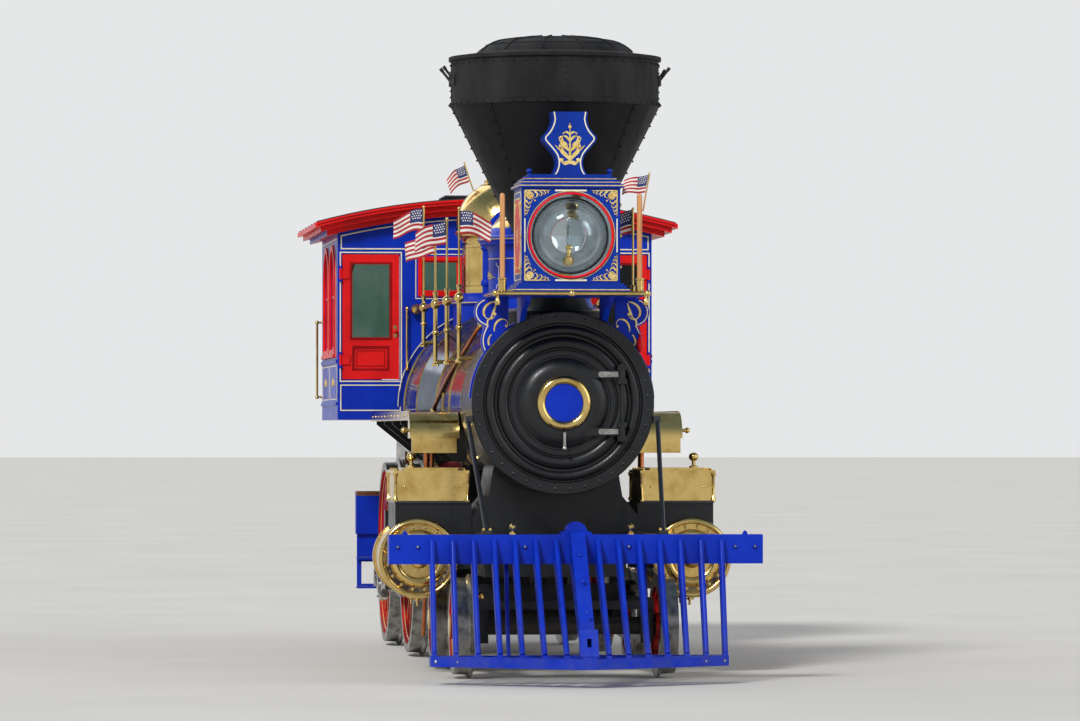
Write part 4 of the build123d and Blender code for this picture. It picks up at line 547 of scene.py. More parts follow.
def paint_frame():
    """Every CAD node's finish, with others for the faces that differ."""
    plain = {
        "black": "frame_left frame_right frame_ties guide_yoke smokebox_braces",
        "satin_black": "saddle smokebox smokebox_front truck_frame smokebox_door",
        "blue": "bumper_beam pilot cab_rear rear_beam bell_stand",
        "brass": "cylinder_covers boiler_bands whistle board_noses handrails bell backhead_fittings",
        "steel": "guide_bars valve_rods crosshead_left crosshead_right",
        "iron": "springs drawbar fire_door", "copper": "feed_pipes", "glass": "cab_glass",
        "lens": "headlamp_glass",
    }
    for finish, names in plain.items():
        for name in names.split():
            paint(name, finish)
    rods = (("coupling_rod", (0.859, 0.885)), ("main_rod", (1.004, 1.036)))
    for (name, faces), (side, _) in product(rods, NAMED_SIDES):
        paint(name + "_" + side, "steel", (
            "wheel_red", lambda c, n, faces=faces: abs(n.y) > 0.5
            and min(abs(abs(c.y) - face) for face in faces) < 0.001))
    paint("steam_chests", "brass", ("black", lambda c, n: c.z < RAIL + 1.267))
    paint("cylinders", "satin_black", (
        "brass", lambda c, n: from_axis(c, RAIL + CYLINDER_H, CYLINDER_Y) > 0.262 and abs(n.x) < 0.5
        and c.z < RAIL + 1.09 and abs(c.y) > 0.8))
    paint("stack", "soot", ("soot_pale", lambda c, n: c.z > RAIL + 4.19))
    lens = RAIL + LENS_H
    # The case takes the darker blue as painted shade, with a mirror bowl and a red ring round the glass.
    paint("headlamp_case", "lamp_blue_shaded",
            ("mirror", lambda c, n: from_axis(c, lens) < 0.2959 and c.x < at(1.281)),
            ("red", lambda c, n: from_axis(c, lens) < 0.312 and c.x > at(1.283)))
    paint("headlamp_platform", "blue", ("black", lambda c, n: c.z > RAIL + 2.79 and n.z > 0.5))
    paint("boiler", "jacket", (
        "satin_black", lambda c, n: from_axis(c) > 0.775 or c.x < at(8.12)
        or (c.z < AXIS_Z - 0.3 and from_axis(c) < 0.63)))
    paint("sand_dome", "blue", ("brass", lambda c, n: RAIL + 3.33 < c.z))
    paint("steam_dome", "brass", ("blue", lambda c, n: c.z < RAIL + 2.905))
    paint("running_boards", "black", ("brass", lambda c, n: abs(c.y) > 1.019))
    paint("cab_front", "blue", ("wood_wide", lambda c, n: n.x < -0.5))
    paint("cab_sides", "blue", ("wood_long", lambda c, n: n.y * c.y < 0 and abs(n.y) > 0.5))
    paint("cab_roof", "red", ("canvas", lambda c, n: n.z > 0.5),
            ("wood_long", lambda c, n: n.z < -0.3 and abs(c.y) < 1.3),
            ("blue", lambda c, n: c.z < RAIL + 3.7 and abs(c.y) < 1.42 and abs(c.x - at(8.2)) < 1.12
            and abs(n.z) < 0.5))
    paint("cab_floor", "wood_long", ("blue", lambda c, n: abs(n.z) < 0.5 and abs(c.y) > 0.9),
            ("black", lambda c, n: n.z < -0.5))
    paint("cab_seats", "wood_long", ("leather", lambda c, n: c.z > RAIL + 2.308))
    paint("flagstaffs", "brass",
            ("staff", lambda c, n: c.x > at(1.35) and RAIL + 2.886 < c.z < RAIL + 3.495))
    paint("number_plate", "brass", ("blue", lambda c, n: from_axis(c) < 0.1385 and n.x > 0.5))
    for side, _ in NAMED_SIDES:
        paint("cab_door_" + side, "red", (
            "glass", lambda c, n: 0.874 < abs(c.y) < 1.186 and RAIL + 2.561 < c.z < RAIL + 3.164
            and at(7.176) < c.x < at(7.168)))
    for end, truck, driver in zip(("front", "rear"), TRUCK_WHEELS, DRIVERS):
        paint_wheels("truck_wheels_" + end, truck, TRUCK_RADIUS)
        paint_wheels("driver_wheels_" + end, driver, DRIVER_RADIUS,
                ("steel", lambda c, n: abs(c.y) > 0.8365))


# Light and floor

def light_and_floor():
    """A large pale floor, a soft key from the camera's left, a fill from its right and an even sky."""
    world = bpy.data.worlds.new("studio")
    bpy.context.scene.world = world
    tree = Tree(world)
    ray = tree.add("LightPath").outputs
    seen = tree.maths("MAXIMUM", ray["Is Camera Ray"], ray["Is Transmission Ray"])
    up = tree.add("SeparateXYZ", {0: tree.add("TexCoord").outputs["Generated"]}).outputs[2]
    sky = tree.blend(tree.ramp(up, 0.02, 0.75), colour("DDE0E3"), colour("6F8296"))
    backdrop = tree.blend(seen, sky, colour("E6E7E8"))
    soft = tree.add("Background", {0: colour("C9CDD2"), 1: 0.62})
    shown = tree.add("Background", {0: backdrop, 1: 1.0})
    direct = tree.maths("MAXIMUM", seen, ray["Is Glossy Ray"])
    mixed = tree.add("MixShader", {0: direct, 1: soft.outputs[0], 2: shown.outputs[0]})
    tree.add("OutputWorld", {0: mixed.outputs[0]})
    for name, energy, angle, aim in (
            ("key", 2.3, 12, (-0.72, 0.42, -0.62)), ("fill", 0.55, 40, (-0.55, -0.8, -0.35)),
            ("back", 0.5, 40, (0.75, 0.35, -0.55))):
        lamp = new_object(name, bpy.data.lights.new(name, "SUN"))
        lamp.data.energy = energy
        lamp.data.angle = radians(angle)
        lamp.rotation_euler = Vector(aim).to_track_quat("-Z", "Y").to_euler()
    mesh = bpy.data.meshes.new("floor")
    mesh.from_pydata([(*spin(a, 400.0), 0) for a in angles(64, 0)], [], [tuple(range(64))])
    floor = new_object("floor", mesh)
    mesh.materials.append(LOOKS["floor"])


paint_frame()
light_and_floor()


# Ornament of lines, leaves and curls

def arc3(first, middle, last, steps=10):
    """Points along the arc through three (u, v) points."""
    (x1, y1), (x2, y2), (x3, y3) = first, middle, last
    twice = 2 * (x1 * (y2 - y3) + x2 * (y3 - y1) + x3 * (y1 - y2))
    s1, s2, s3 = x1 * x1 + y1 * y1, x2 * x2 + y2 * y2, x3 * x3 + y3 * y3
    cx = (s1 * (y2 - y3) + s2 * (y3 - y1) + s3 * (y1 - y2)) / twice
    cy = (s1 * (x3 - x2) + s2 * (x1 - x3) + s3 * (x2 - x1)) / twice
    begin, via, end = (atan2(y - cy, x - cx) for x, y in (first, middle, last))
    sweep = (end - begin) % (2 * pi)
    if (via - begin) % (2 * pi) > sweep:
        sweep -= 2 * pi
    return arc_path(cx, cy, hypot(x1 - cx, y1 - cy), degrees(begin), degrees(begin + sweep), steps)


def inset(path, distance):
    """An open path moved to its left by a distance."""
    moved = []
    for i, (u, v) in enumerate(path):
        before, after = path[max(i - 1, 0)], path[min(i + 1, len(path) - 1)]
        way = Vector((after[0] - before[0], after[1] - before[1])).normalized()
        moved.append((u - way.y * distance, v + way.x * distance))
    return moved


class Around:
    """A board rolled round an upright drum: u runs round it and v up it."""

    def __init__(self, x, radius, facing):
        self.x, self.radius, self.facing = x, radius, radians(facing)

    def __matmul__(self, other):
        if isinstance(other, Matrix):
            middle = other.translation
            out = Vector((*spin(self.facing + middle.x / self.radius), 0))
            matrix = Matrix((UP.cross(out), UP, out)).transposed().to_4x4()
            matrix.translation = self @ middle
            return matrix
        x, y = spin(self.facing + other.x / self.radius, self.radius + other.z)
        return Vector((self.x + x, y, other.y))


def scroll_corner(craft, place, u, v, su, sv, size):
    """A corner of scrollwork: a border on both edges, curls that shrink away from it and a leaf across."""
    for swapped in (False, True):
        def from_corner(along, off):
            x, y = (off, along) if swapped else (along, off)
            return u + su * x * size, v + sv * y * size

        def heading(angle):
            x, y = spin(radians(90 - angle if swapped else angle))
            return degrees(atan2(sv * y, su * x))

        flip = su * sv * (-1 if swapped else 1)
        craft.ribbon([from_corner(along, 0) for along in (0, 0.5, 1.0)], place,
                [0.045 * size, 0.045 * size, 0.015 * size], 0.003, "gilt")
        for along, length, width in ((0.12, 0.62, 0.05), (0.36, 0.5, 0.044), (0.57, 0.38, 0.036),
                (0.74, 0.27, 0.03), (0.88, 0.17, 0.024)):
            craft.frond(place, from_corner(along, 0.02), heading(8), length * size, 150 * flip, 330 * flip,
                    width * size, width * 0.55 * size)
            craft.frond(place, from_corner(along + 0.02, 0.02), heading(75), length * 0.34 * size,
                    -60 * flip, -90 * flip, width * size)
    craft.frond(place, (u + su * 0.02 * size, v + sv * 0.02 * size), degrees(atan2(sv, su)), 0.5 * size, 0,
            0, 0.07 * size)
    craft.disc(u + su * 0.4 * size, v + sv * 0.4 * size, 0.035 * size, place, 0.004)


def scroll_corners(craft, place, half, low, high, size):
    """Scrollwork in all the corners of a panel."""
    for su, (v, sv) in product(SIDES, ((low, 1), (high, -1))):
        scroll_corner(craft, place, -su * half, v, su, sv, size)


def rosette(craft, place, u, v, size):
    """A round flower of leaves about a button."""
    for a in angles(8, 0):
        x, y = spin(a, size * 0.22)
        craft.frond(place, (u + x, v + y), degrees(a), size * 0.75, 25, 60, size * 0.22)
    craft.disc(u, v, size * 0.22, place, 0.006)


def spray(craft, place, u, v, size):
    """A long painter's scroll, the same to both sides of a button."""
    for side in SIDES:
        craft.fronds(place, side, (
            (0.05, 0.0, 25, 1.15, -95, 200, 0.06, 0.0), (0.1, 0.02, 60, 0.75, -130, -330, 0.055, 0.04),
            (0.1, -0.02, -50, 0.62, 90, 300, 0.05, 0.035), (0.42, 0.02, 50, 0.55, -110, -330, 0.045, 0.03),
            (0.5, -0.03, -70, 0.42, 110, 300, 0.04, 0.03), (0.02, 0.03, 86, 0.24, -10, -60, 0.05, 0.0)
        ), u, v, size)
    craft.disc(u, v, 0.06 * size, place, 0.006)


# The headlamp

@piece()
def lamp_dressing(craft):
    """Lines and gilding on the lamp's box, the burner in its bowl and the rings round its glass."""
    low = LAMP_H + 0.06
    front = board("front", LAMP, 0, low)
    half, high = 0.336, 0.695
    scroll_corners(craft, front, half, 0.022, high - 0.022, 0.185)
    for v in (0.022, high - 0.022):
        craft.ribbon([(-0.115, v), (0.115, v)], front, 0.012, 0.002)
    for u in (-half, half):
        craft.ribbon([(u, 0.225), (u, high - 0.225)], front, 0.008, 0.002)
    craft.ribbon(round_path((-0.356, 0.004), (0.356, high - 0.004), 0.004, 2), front, 0.006, 0.002,
            "deep_blue", True)
    lens = board("front", LAMP, 0, LENS_H)
    craft.ribbon(arc_path(0, 0, 0.321, 0, 352.5, 47), lens, 0.005, 0.003, "gilt", True)
    for facing, side in NAMED_SIDES:
        place = board(facing, LAMP + 0.28, side * 0.36, low)
        edge = round_path((-0.205, 0.075), (0.205, high - 0.075), 0.05)
        craft.slab(edge, place, 0.0015, "red")
        craft.ribbon(edge, place, 0.01, 0.0035, "gilt", True)
        craft.panel(place, (-0.255, 0.03), (0.255, high - 0.03), 0.007, notch=0.035)
        scroll_corners(craft, place, 0.178, 0.105, high - 0.105, 0.12)
        rosette(craft, place, 0, high / 2, 0.085)
        for k in range(3):
            craft.turned(mm((15, -4), (15, 4), (6, 12), (0, 14)),
                    place @ Matrix.Translation((-side * 0.268, 0.12 + 0.225 * k, 0)), "brass", 10)
    back = board("back", LAMP + 0.56, 0, low)
    craft.slab(round_path((-0.24, 0.09), (0.24, high - 0.09), 0.02), back, 0.008, "deep_blue")
    craft.panel(back, (-0.3, 0.03), (0.3, high - 0.03), notch=0.035)
    for v in (0.2, high - 0.2):
        craft.bar(back @ Vector((-0.25, v - 0.04, 0.012)), back @ Vector((-0.25, v + 0.04, 0.012)), 0.01)
    craft.ball(back @ Vector((0.21, high / 2, 0.022)), 0.016)
    for rise, out in mm((11, 62), (768, 20), (794, 0), (819, -26)):
        craft.panel(board("up", LAMP, 0, LAMP_H + rise), (-0.56 - out, -0.36 - out), (out, 0.36 + out),
                0.004, 0.003, "gilt")
    # The burner and its chimney, inside the bowl.
    core = spot(LAMP + 0.165, 0, LENS_H)
    craft.turned(mm((0, -215), (38, -213), (44, -196), (38, -160), (20, -146), (16, -100), (26, -88),
            (26, -72), (14, -62), (0, -62)), core)
    craft.turned(mm((14, -64), (22, -36), (18, -4), (12, 30), (12, 80), (9, 80), (9, 30), (15, -4),
            (19, -36), (11, -64), (14, -64)), core, "lens")


@piece()
def crest_dressing(craft):
    """The lines along the crest's edges and the gilded ornament on its face."""
    edge = arc3((0.128, 0.0), (0.094, 0.084), (0.124, 0.164))
    edge += arc3((0.186, 0.236), (0.194, 0.262), (0.182, 0.29))
    edge += arc3((0.182, 0.29), (0.136, 0.356), (0.124, 0.404))[1:] + [(0.132, 0.452)]
    line = inset(edge, 0.017)
    face = board("front", 1.35, 0, LAMP_H + 0.853)
    back = board("back", 1.57, 0, LAMP_H + 0.853)
    for side in SIDES:
        craft.ribbon([(side * u, v) for u, v in line], face, 0.009, 0.0025)
    for side in SIDES:
        craft.fronds(face, side, (
            (0.006, 0.1, -60, 0.075, 95, 150, 0.024, 0.015), (0.004, 0.105, 62, 0.15, -52, 110, 0.024, 0.0),
            (0.03, 0.15, 20, 0.085, 95, 110, 0.018, 0.01), (0.004, 0.17, 48, 0.13, -20, 150, 0.022, 0.0),
            (0.02, 0.205, 80, 0.085, -130, -160, 0.016, 0.01), (0.05, 0.225, 65, 0.055, 30, 60, 0.018, 0.0),
            (0.003, 0.24, 70, 0.085, -50, -190, 0.014, 0.009),
            (0.003, 0.29, 60, 0.055, -60, -180, 0.012, 0.007)))
    craft.ribbon(mm((0, 85), (0, 130), (0, 200), (0, 290), (0, 335)), face,
            [0.01, 0.018, 0.012, 0.009, 0.004], 0.004, "gilt")
    for v, radius in mm((82, 10), (150, 10), (215, 9), (345, 12), (366, 6)):
        craft.disc(0, v, radius, face, 0.005)
    for side in SIDES:
        craft.ribbon([(side * u, v) for u, v in line], back, 0.009, 0.0025)


def on_barrel(station, radius, angle, side=1):
    """A point at an angle about the boiler's axis, and the way out from it."""
    out = Vector((0, side * cos(angle), sin(angle)))
    return spot(station, 0, AXIS) + out * radius, out


@piece()
def platform_dressing(craft):
    """The brass rail along the lamp board's front, and lines on its scroll brackets."""
    front, h = 1.227, 2.781
    craft.bar(spot(front, -0.552, h), spot(front, 0.552, h), 0.016)
    for y in (-0.552, 0.0, 0.552):
        craft.ball(spot(front, y, h), 0.026)
    for side in SIDES:
        craft.turned(mm((0, -84), (16, -76), (22, -58), (16, -38), (9, -22), (15, 0)),
                spot(front, side * 0.54, h - 0.008), "brass", 12)
        craft.bar(spot(1.247, side * 0.56, h), spot(1.995, side * 0.56, h), 0.009, "brass", 10)
    bracket = [(0.415, -0.004), (0.548, -0.004)] + arc3((0.548, 0.0), (0.648, -0.1), (0.562, -0.21), 12)[1:]
    bracket += arc3((0.562, -0.21), (0.596, -0.33), (0.54, -0.45), 10)[1:]
    line = inset(bracket[::-1], 0.014)[::-1]
    place = board("front", 1.9, 0, 2.765)
    for side in SIDES:
        craft.ribbon([(side * u, v) for u, v in line[2:]], place, 0.008)
        craft.fronds(place, side, (
            (0.49, -0.03, 5, 0.27, -150, -330, 0.014, 0.012), (0.5, -0.25, 80, 0.2, 100, 330, 0.012, 0.01),
            (0.485, -0.04, -75, 0.16, 10, 60, 0.014, 0.0), (0.545, -0.215, 65, 0.09, 60, 160, 0.01, 0.007),
            (0.52, -0.27, -40, 0.18, -120, -330, 0.012, 0.01)))
        # A riveted strap from each bracket down the smokebox's side.
        rows = [radians(3 + 57 * k / 14) for k in range(15)]
        section = mm((1985, 649), (1895, 649), (1895, 686), (1985, 686))
        craft.skin([[on_barrel(s, radius, a, side)[0] for s, radius in section] for a in rows], "blue")
        for a in rows[1::2]:
            craft.stud(*on_barrel(1.94, 0.686, a, side), 0.011, "steel")
    # A red drop on a pin in the left bracket.
    craft.bar(spot(1.905, 0.575, 2.5), spot(1.858, 0.575, 2.5), 0.006, "brass", 8)
    craft.turned(mm((0, -135), (10, -130), (24, -105), (28, -80), (20, -45), (8, -22), (6, 4), (0, 6)),
            spot(1.863, 0.575, 2.5), "red", 14)


# Smokebox and stack

@piece(slot="black_paint")
def smokebox_rivets(craft):
    """Rivets round the front and along the smokebox's edges, and the nuts of the braces."""
    for a in angles(36):
        craft.stud(on_barrel(1.8205, 0.632, a)[0], AHEAD, 0.012, "satin_black", 8, 0.5)
    for station, a in product((1.915, 2.915), angles(48)):
        if sin(a) > -0.62 or station < 2:
            craft.stud(*on_barrel(station, 0.654, a), 0.011, "satin_black")
    for side in SIDES:
        for y in (0.616, 0.664):
            craft.stud(spot(0.992, side * y, 1.07), UP, 0.012, "brass", 6)
        for k in range(7):
            craft.stud(spot(2.4 + 0.115 * k, side * 0.6, 1.149), (0, side * 0.78, 0.62), 0.014,
                    "satin_black", 6)


@piece("smokebox_door_body", "bright_steel")
def smokebox_door_dressing(craft):
    """Bright ends on the door's straps with their nuts, and a polished knob on the handle."""
    for sign in SIDES:
        place = board("front", 1.7578, 0, AXIS + sign * 0.21)
        craft.slab(mm((255, -12), (270, -20), (400, -18), (400, 18), (270, 20), (255, 12)), place, 0.004,
                "steel")
        for u in (0.285, 0.335):
            craft.disc(u, 0, 0.01, place, 0.01, "steel", 8)
    craft.ball(spot(1.7197, 0, AXIS - 0.332), 0.019, "steel")
    craft.tube([spot(1.7197, 0, AXIS - 0.325), spot(1.7197, 0, AXIS - 0.216)], 0.0125, "steel", 12)


STACK = 2.4


def on_stack(h, radius, angle):
    """A point at an angle about the stack's axis, and the way out from it."""
    out = Vector((*spin(angle), 0))
    return spot(STACK, 0, h) + out * radius, out


def stack_strap(craft, angle, rows, finish):
    """A plate down the stack: rows of (radius, height, half the width)."""
    across = Vector((-sin(angle), cos(angle), 0))
    craft.put([on_stack(h, radius + lift, angle)[0] + across * du for radius, h, wide in rows
            for du in (-wide, wide) for lift in (-0.004, 0.004)], BOX, finish)


@piece(slot="black_paint")
def stack_dressing(craft):
    """Riveted seams, the band's straps and the diagonal latches that hold the screen down."""
    slope = Vector((1.09, 0, -0.542)).normalized()
    for number, angle in enumerate(angles(8, 0)):
        stack_strap(craft, angle, ((0.236, 3.13, 0.014), (0.77, 4.186, 0.026)), "soot")
        for h in (3.18 + 0.088 * step for step in range(12)):
            point, out = on_stack(h, 0.234 + 0.542 * min(1.0, (h - 3.1) / 1.09), angle)
            craft.stud(point, out * slope.x + UP * slope.z, 0.008, "soot", 6)
        if number % 2 == 0:
            stack_strap(craft, angle, ((0.7722, 4.236, 0.026), (0.7722, 4.528, 0.026)), "soot_pale")
            for n in range(6):
                craft.stud(*on_stack(4.264 + 0.047 * n, 0.776, angle), 0.008, "soot_pale", 6)
    for (h, radius), a in product(((4.208, 0.784), (4.505, 0.772)), angles(56)):
        craft.stud(*on_stack(h, radius, a), 0.008, "soot_pale", 6)
    ribs = arc3((0.585, 4.598), (0.52, 4.648), (0.4, 4.688), 5) + [(0.3, 4.702), (0.15, 4.717)]
    for a in angles(12):
        craft.tube([on_stack(h + 0.005, radius, a)[0] for radius, h in ribs], 0.006, "soot_pale", 6)
    for side, turn in product(SIDES, (-9, 9)):
        foot, out = on_stack(4.385, 0.776, radians(90 * side + turn))
        tip = foot + out * 0.062 + UP * 0.08
        craft.bar(foot, tip, 0.01, "iron", 8)
        craft.bar(tip, tip + (tip - foot) * 0.28, 0.013, "iron", 8)
        craft.bar(foot - UP * 0.035, foot + UP * 0.045, 0.017, "iron", 8)
    for h, radius, thick, finish, steps, sides in (
            (4.652, 0.515, 0.005, "soot_pale", 40, 6), (4.69, 0.398, 0.005, "soot_pale", 40, 6),
            (2.672, 0.35, 0.008, "satin_black", 48, 8), (2.815, 0.231, 0.008, "satin_black", 48, 8)):
        craft.ring(towards(spot(STACK, 0, h), UP), radius, thick, finish, steps, sides)


# Domes and boiler

def smoothed(points, steps):
    """Catmull-Rom points between the given ones."""
    ends = [points[0]] + list(points) + [points[-1]]
    path = []
    for quad, step in product(zip(ends, ends[1:], ends[2:], ends[3:]), range(steps)):
        t = step / steps
        path.append(tuple(
            0.5 * (2 * q + (r - p) * t + (2 * p - 5 * q + 4 * r - s) * t * t
                   + (3 * q - p - 3 * r + s) * t ** 3) for p, q, r, s in zip(*quad)))
    return path + [points[-1]]


@piece()
def dome_dressing(craft):
    """Gilt rings and sprays on the sand dome, rings on the steam dome, and the sand pipes."""
    sand, steam = 3.5, 6.3
    for station, radius, h, thick, finish in (
            (sand, 0.392, 2.835, 0.004, "gilt"), (sand, 0.392, 3.095, 0.004, "gilt"),
            (sand, 0.456, 2.707, 0.004, "brass"), (sand, 0.474, 3.243, 0.006, "brass"),
            (sand, 0.108, 3.5, 0.006, "brass"), (steam, 0.35, 2.96, 0.005, "brass"),
            (steam, 0.35, 3.27, 0.005, "brass"), (steam, 0.437, 2.824, 0.005, "gilt"),
            (steam, 0.408, 3.394, 0.004, "brass"), (steam, 0.19, 3.784, 0.006, "brass")):
        craft.ring(towards(spot(station, 0, h), UP), radius, thick, finish, 56)
    for facing in (0, 90, 180, 270):
        drum = Around(at(sand), 0.392, facing)
        spray(craft, drum, 0, RAIL + 2.965, 0.15)
        craft.panel(drum, (-0.215, RAIL + 2.87), (0.215, RAIL + 3.062), 0.006, notch=0.03)
    path = smoothed(mm((3620, 360, 2660), (3660, 450, 2580), (3820, 535, 2420), (4300, 625, 2220),
            (4800, 668, 2040), (4960, 690, 1950), (4985, 700, 1800), (5000, 705, 1300), (5030, 735, 800),
            (5150, 748, 380), (5235, 750, 170)), 4)
    for side in SIDES:
        craft.tube([spot(s, side * y, h) for s, y, h in path], 0.017, "copper")
        craft.turned(mm((17, -20), (30, -20), (30, 20), (17, 20)),
                towards(spot(3.65, side * 0.432, 2.598), (0.2, -side * 0.5, 0.4)), "brass", 12)
        craft.turned(mm((24, -16), (24, 16), (0, 16)), spot(4.965, side * 0.693, 1.946), "brass", 12)


@piece(slot="black_paint")
def boiler_dressing(craft):
    """Washout plugs, the bands' clips, staybolts on the firebox and the boards' edge nuts."""
    for side in SIDES:
        for station in (2.974, 4.045, 4.663, 5.253, 5.803, 7.083):
            radius = 0.6573 if station < 5.5 else 0.7673
            craft.stud(*on_barrel(station, radius, radians(-38), side), 0.016, "brass", 6)
        for column, row in product(range(15), range(6)):
            craft.stud(spot(6.56 + 0.105 * column, side * 0.5005, 0.7 + 0.14 * row), (0, side, 0), 0.011,
                    "satin_black", 6, 0.5)
        for station in (6.75, 7.45, 8.0):
            craft.stud(spot(station, side * 0.505, 0.68), (0, side, 0), 0.024, "brass", 6)
        for number in range(12):
            craft.stud(spot(3.25 + 0.33 * number, side * 1.034, 1.902), (0, side, 0), 0.009)


# Cab

ROOF_RADIUS = 5.725
CAB_FRONT, CAB_REAR = 7.15, 9.15


def roof_height(y, middle=3.7):
    """How high above the rail a point of the arched roof is, given its height in the middle."""
    return middle - ROOF_RADIUS + sqrt(ROOF_RADIUS ** 2 - y ** 2)


def evenly(reach, steps):
    """Even steps from -reach to reach."""
    return [-reach + 2 * reach * k / steps for k in range(steps + 1)]


@piece(slot="blue_paint")
def cab_front_dressing(craft):
    """Cream lines round the panels, red frames round the small windows and the doorways' mouldings."""
    wall = at(CAB_FRONT)
    place, inner = board("front", CAB_FRONT), board("front", CAB_FRONT + 0.018)
    header = [(-1.275, 3.292), (1.275, 3.292)]
    header += [(u, roof_height(u, 3.57) - 0.028) for u in reversed(evenly(1.275, 16))]
    craft.ribbon(header, place, 0.01, closed=True)
    for su in SIDES:
        for u0, v0, u1, v1, width, rise, finish in ((0.778, 2.198, 1.283, 3.262, 0.01, 0.003, "cream"),
                (0.786, 1.958, 1.279, 2.166, 0.009, 0.003, "cream"),
                (0.287, 2.917, 0.623, 3.213, 0.034, 0.014, "red")):
            craft.panel(place, (su * u0, v0), (su * u1, v1), width, rise, finish)
        craft.panel(inner, (su * 0.309, 2.939), (su * 0.601, 3.191), 0.02, 0.01, "red", sink=0.001)
        craft.panel(place, (su * 0.252, 2.882), (su * 0.658, 3.248), 0.007, 0.003)
        for radius, width, rise, finish in ((0.792, 0.016, 0.008, "deep_blue"),
                (0.806256, 0.006, 0.003, "cream")):
            edge = arc_path(0, AXIS, radius, 0, 88, 24)
            craft.ribbon([(su * u, v) for u, v in edge], place, width, rise, finish)
        craft.handle((wall + 0.045, su * 0.735), (wall - 0.001, su * 0.735), 2.3, 2.8, 0.01, 0.016, 0.009)


@piece(slot="red_paint")
def cab_side_dressing(craft):
    """Red arched frames and sashes, cream lines round the panels, and the rear grab irons."""
    for facing, side in NAMED_SIDES:
        place, inner = board(facing, MIDDLE, side * 1.305), board(facing, MIDDLE, side * 1.286)
        for start in (7.4, 8.16):
            middle = side * -at(start + 0.31)
            for where, half, width, rise, finish, sink in ((place, 0.328, 0.044, 0.016, "red", 0.002),
                    (place, 0.362, 0.007, 0.002, "cream", 0.002),
                    (inner, 0.295, 0.03, 0.012, "red", 0.001)):
                arch = [(middle - half, 2.77 - half), (middle + half, 2.77 - half)]
                arch += arc_path(middle, 2.99, half, 0, 180, 24)
                craft.ribbon(arch, where, width, rise, finish, True, sink)
            craft.ribbon([(middle, 2.475), (middle, 3.285)], inner, 0.024, 0.011, "red", sink=0.001)
            craft.ribbon([(middle - 0.285, 2.905), (middle + 0.285, 2.905)], inner, 0.024, 0.012, "red",
                    sink=0.001)
            craft.slab([(middle - 0.365, 2.398), (middle + 0.365, 2.398), (middle + 0.355, 2.424),
                    (middle - 0.355, 2.424)], place, 0.03, "red")
        for first, last in ((7.23, 8.13), (8.19, 9.07)):
            u0, u1 = sorted((side * -at(first), side * -at(last)))
            craft.panel(place, (u0, 2.052), (u1, 2.328), notch=0.04)
            spray(craft, place, (u0 + u1) / 2, 2.19, 0.18)
        u0, u1 = sorted((side * -at(7.215), side * -at(9.115)))
        for v, width, finish in ((3.375, 0.01, "cream"), (3.4, 0.005, "red")):
            craft.ribbon([(u0, v), (u1, v)], place, width, 0.003, finish)
        craft.handle((at(9.105), side * 1.352), (at(9.105), side * 1.3), 2.08, 2.72, 0.011, 0.018, 0.01)


@piece(slot="blue_paint")
def cab_rear_dressing(craft):
    """Lines on the rear arch, on the rear beam and round the footwell, and the deck's grab irons."""
    place = board("back", CAB_REAR)
    path = [(1.12, 1.97), (1.12, 2.8)] + arc_path(0, 2.85, 1.12, 2, 25, 6)
    for su in SIDES:
        craft.ribbon([(su * u, v) for u, v in path], place, 0.009)
        craft.ribbon([(su * 1.222, 1.96), (su * 1.222, 3.36)], place, 0.009)
        craft.handle((at(9.215), su * 1.175), (at(9.149), su * 1.175), 2.05, 2.75, 0.011, 0.017, 0.01)
    craft.ribbon([(-1.02, 3.372), (1.02, 3.372)], place, 0.009)
    beam = board("back", 9.44)
    for su in SIDES:
        u0, u1 = sorted((su * 0.13, su * 0.965))
        craft.panel(beam, (u0, 0.935), (u1, 1.195), notch=0.03)
    for u, v in product((-0.3, -0.18, 0.18, 0.3), (1.03, 1.13)):
        craft.disc(u, v, 0.016, beam, 0.014, "blue", 6)
    craft.turned(mm((34, -130), (34, 4), (50, 6), (50, 20), (20, 30), (0, 30)), spot(9.57, 0, 1.005),
            "iron", 16)
    for side, h, station in product(SIDES, (0.448, 0.698), (9.335 + 0.032 * k for k in range(4))):
        tread = spot(station, side * 0.895, h)
        craft.box(tread - Vector((0.004, 0.085, 0)), tread + Vector((0.004, 0.085, 0.004)), "steel")


@piece(slot="red_paint")
def roof_dressing(craft):
    """Standing seams over the roof, a dark red painted shadow line along its front edge and a closed hatch.
    """
    for number in range(7):
        craft.tube([spot(6.99 + 0.4 * number, y, roof_height(y) + 0.003) for y in evenly(1.488, 24)], 0.008,
                "canvas", 6)
    for y in (-1.0, -0.5, 0.5, 1.0):
        craft.tube([spot(station, y, roof_height(y) + 0.002) for station in (6.965, 9.435)], 0.006,
                "canvas", 6)
    rows = []
    for lift, out in mm((-10, 0), (45, 0), (45, 25), (62, 25)):
        rows.append([spot(8.15 + end * (0.3 + out), side * (0.33 + out), roof_height(0.33) + 0.012 + lift)
                for end, side in ((1, -1), (-1, -1), (-1, 1), (1, 1))])
    craft.skin(rows, "canvas")
    # Painted shadow: a dark red line along the roof's front edge, where the fascia steps in.
    craft.ribbon([(y, roof_height(y) - 0.02) for y in evenly(1.48, 28)], board("front", 6.95), 0.01, 0.004,
            "dark_red")


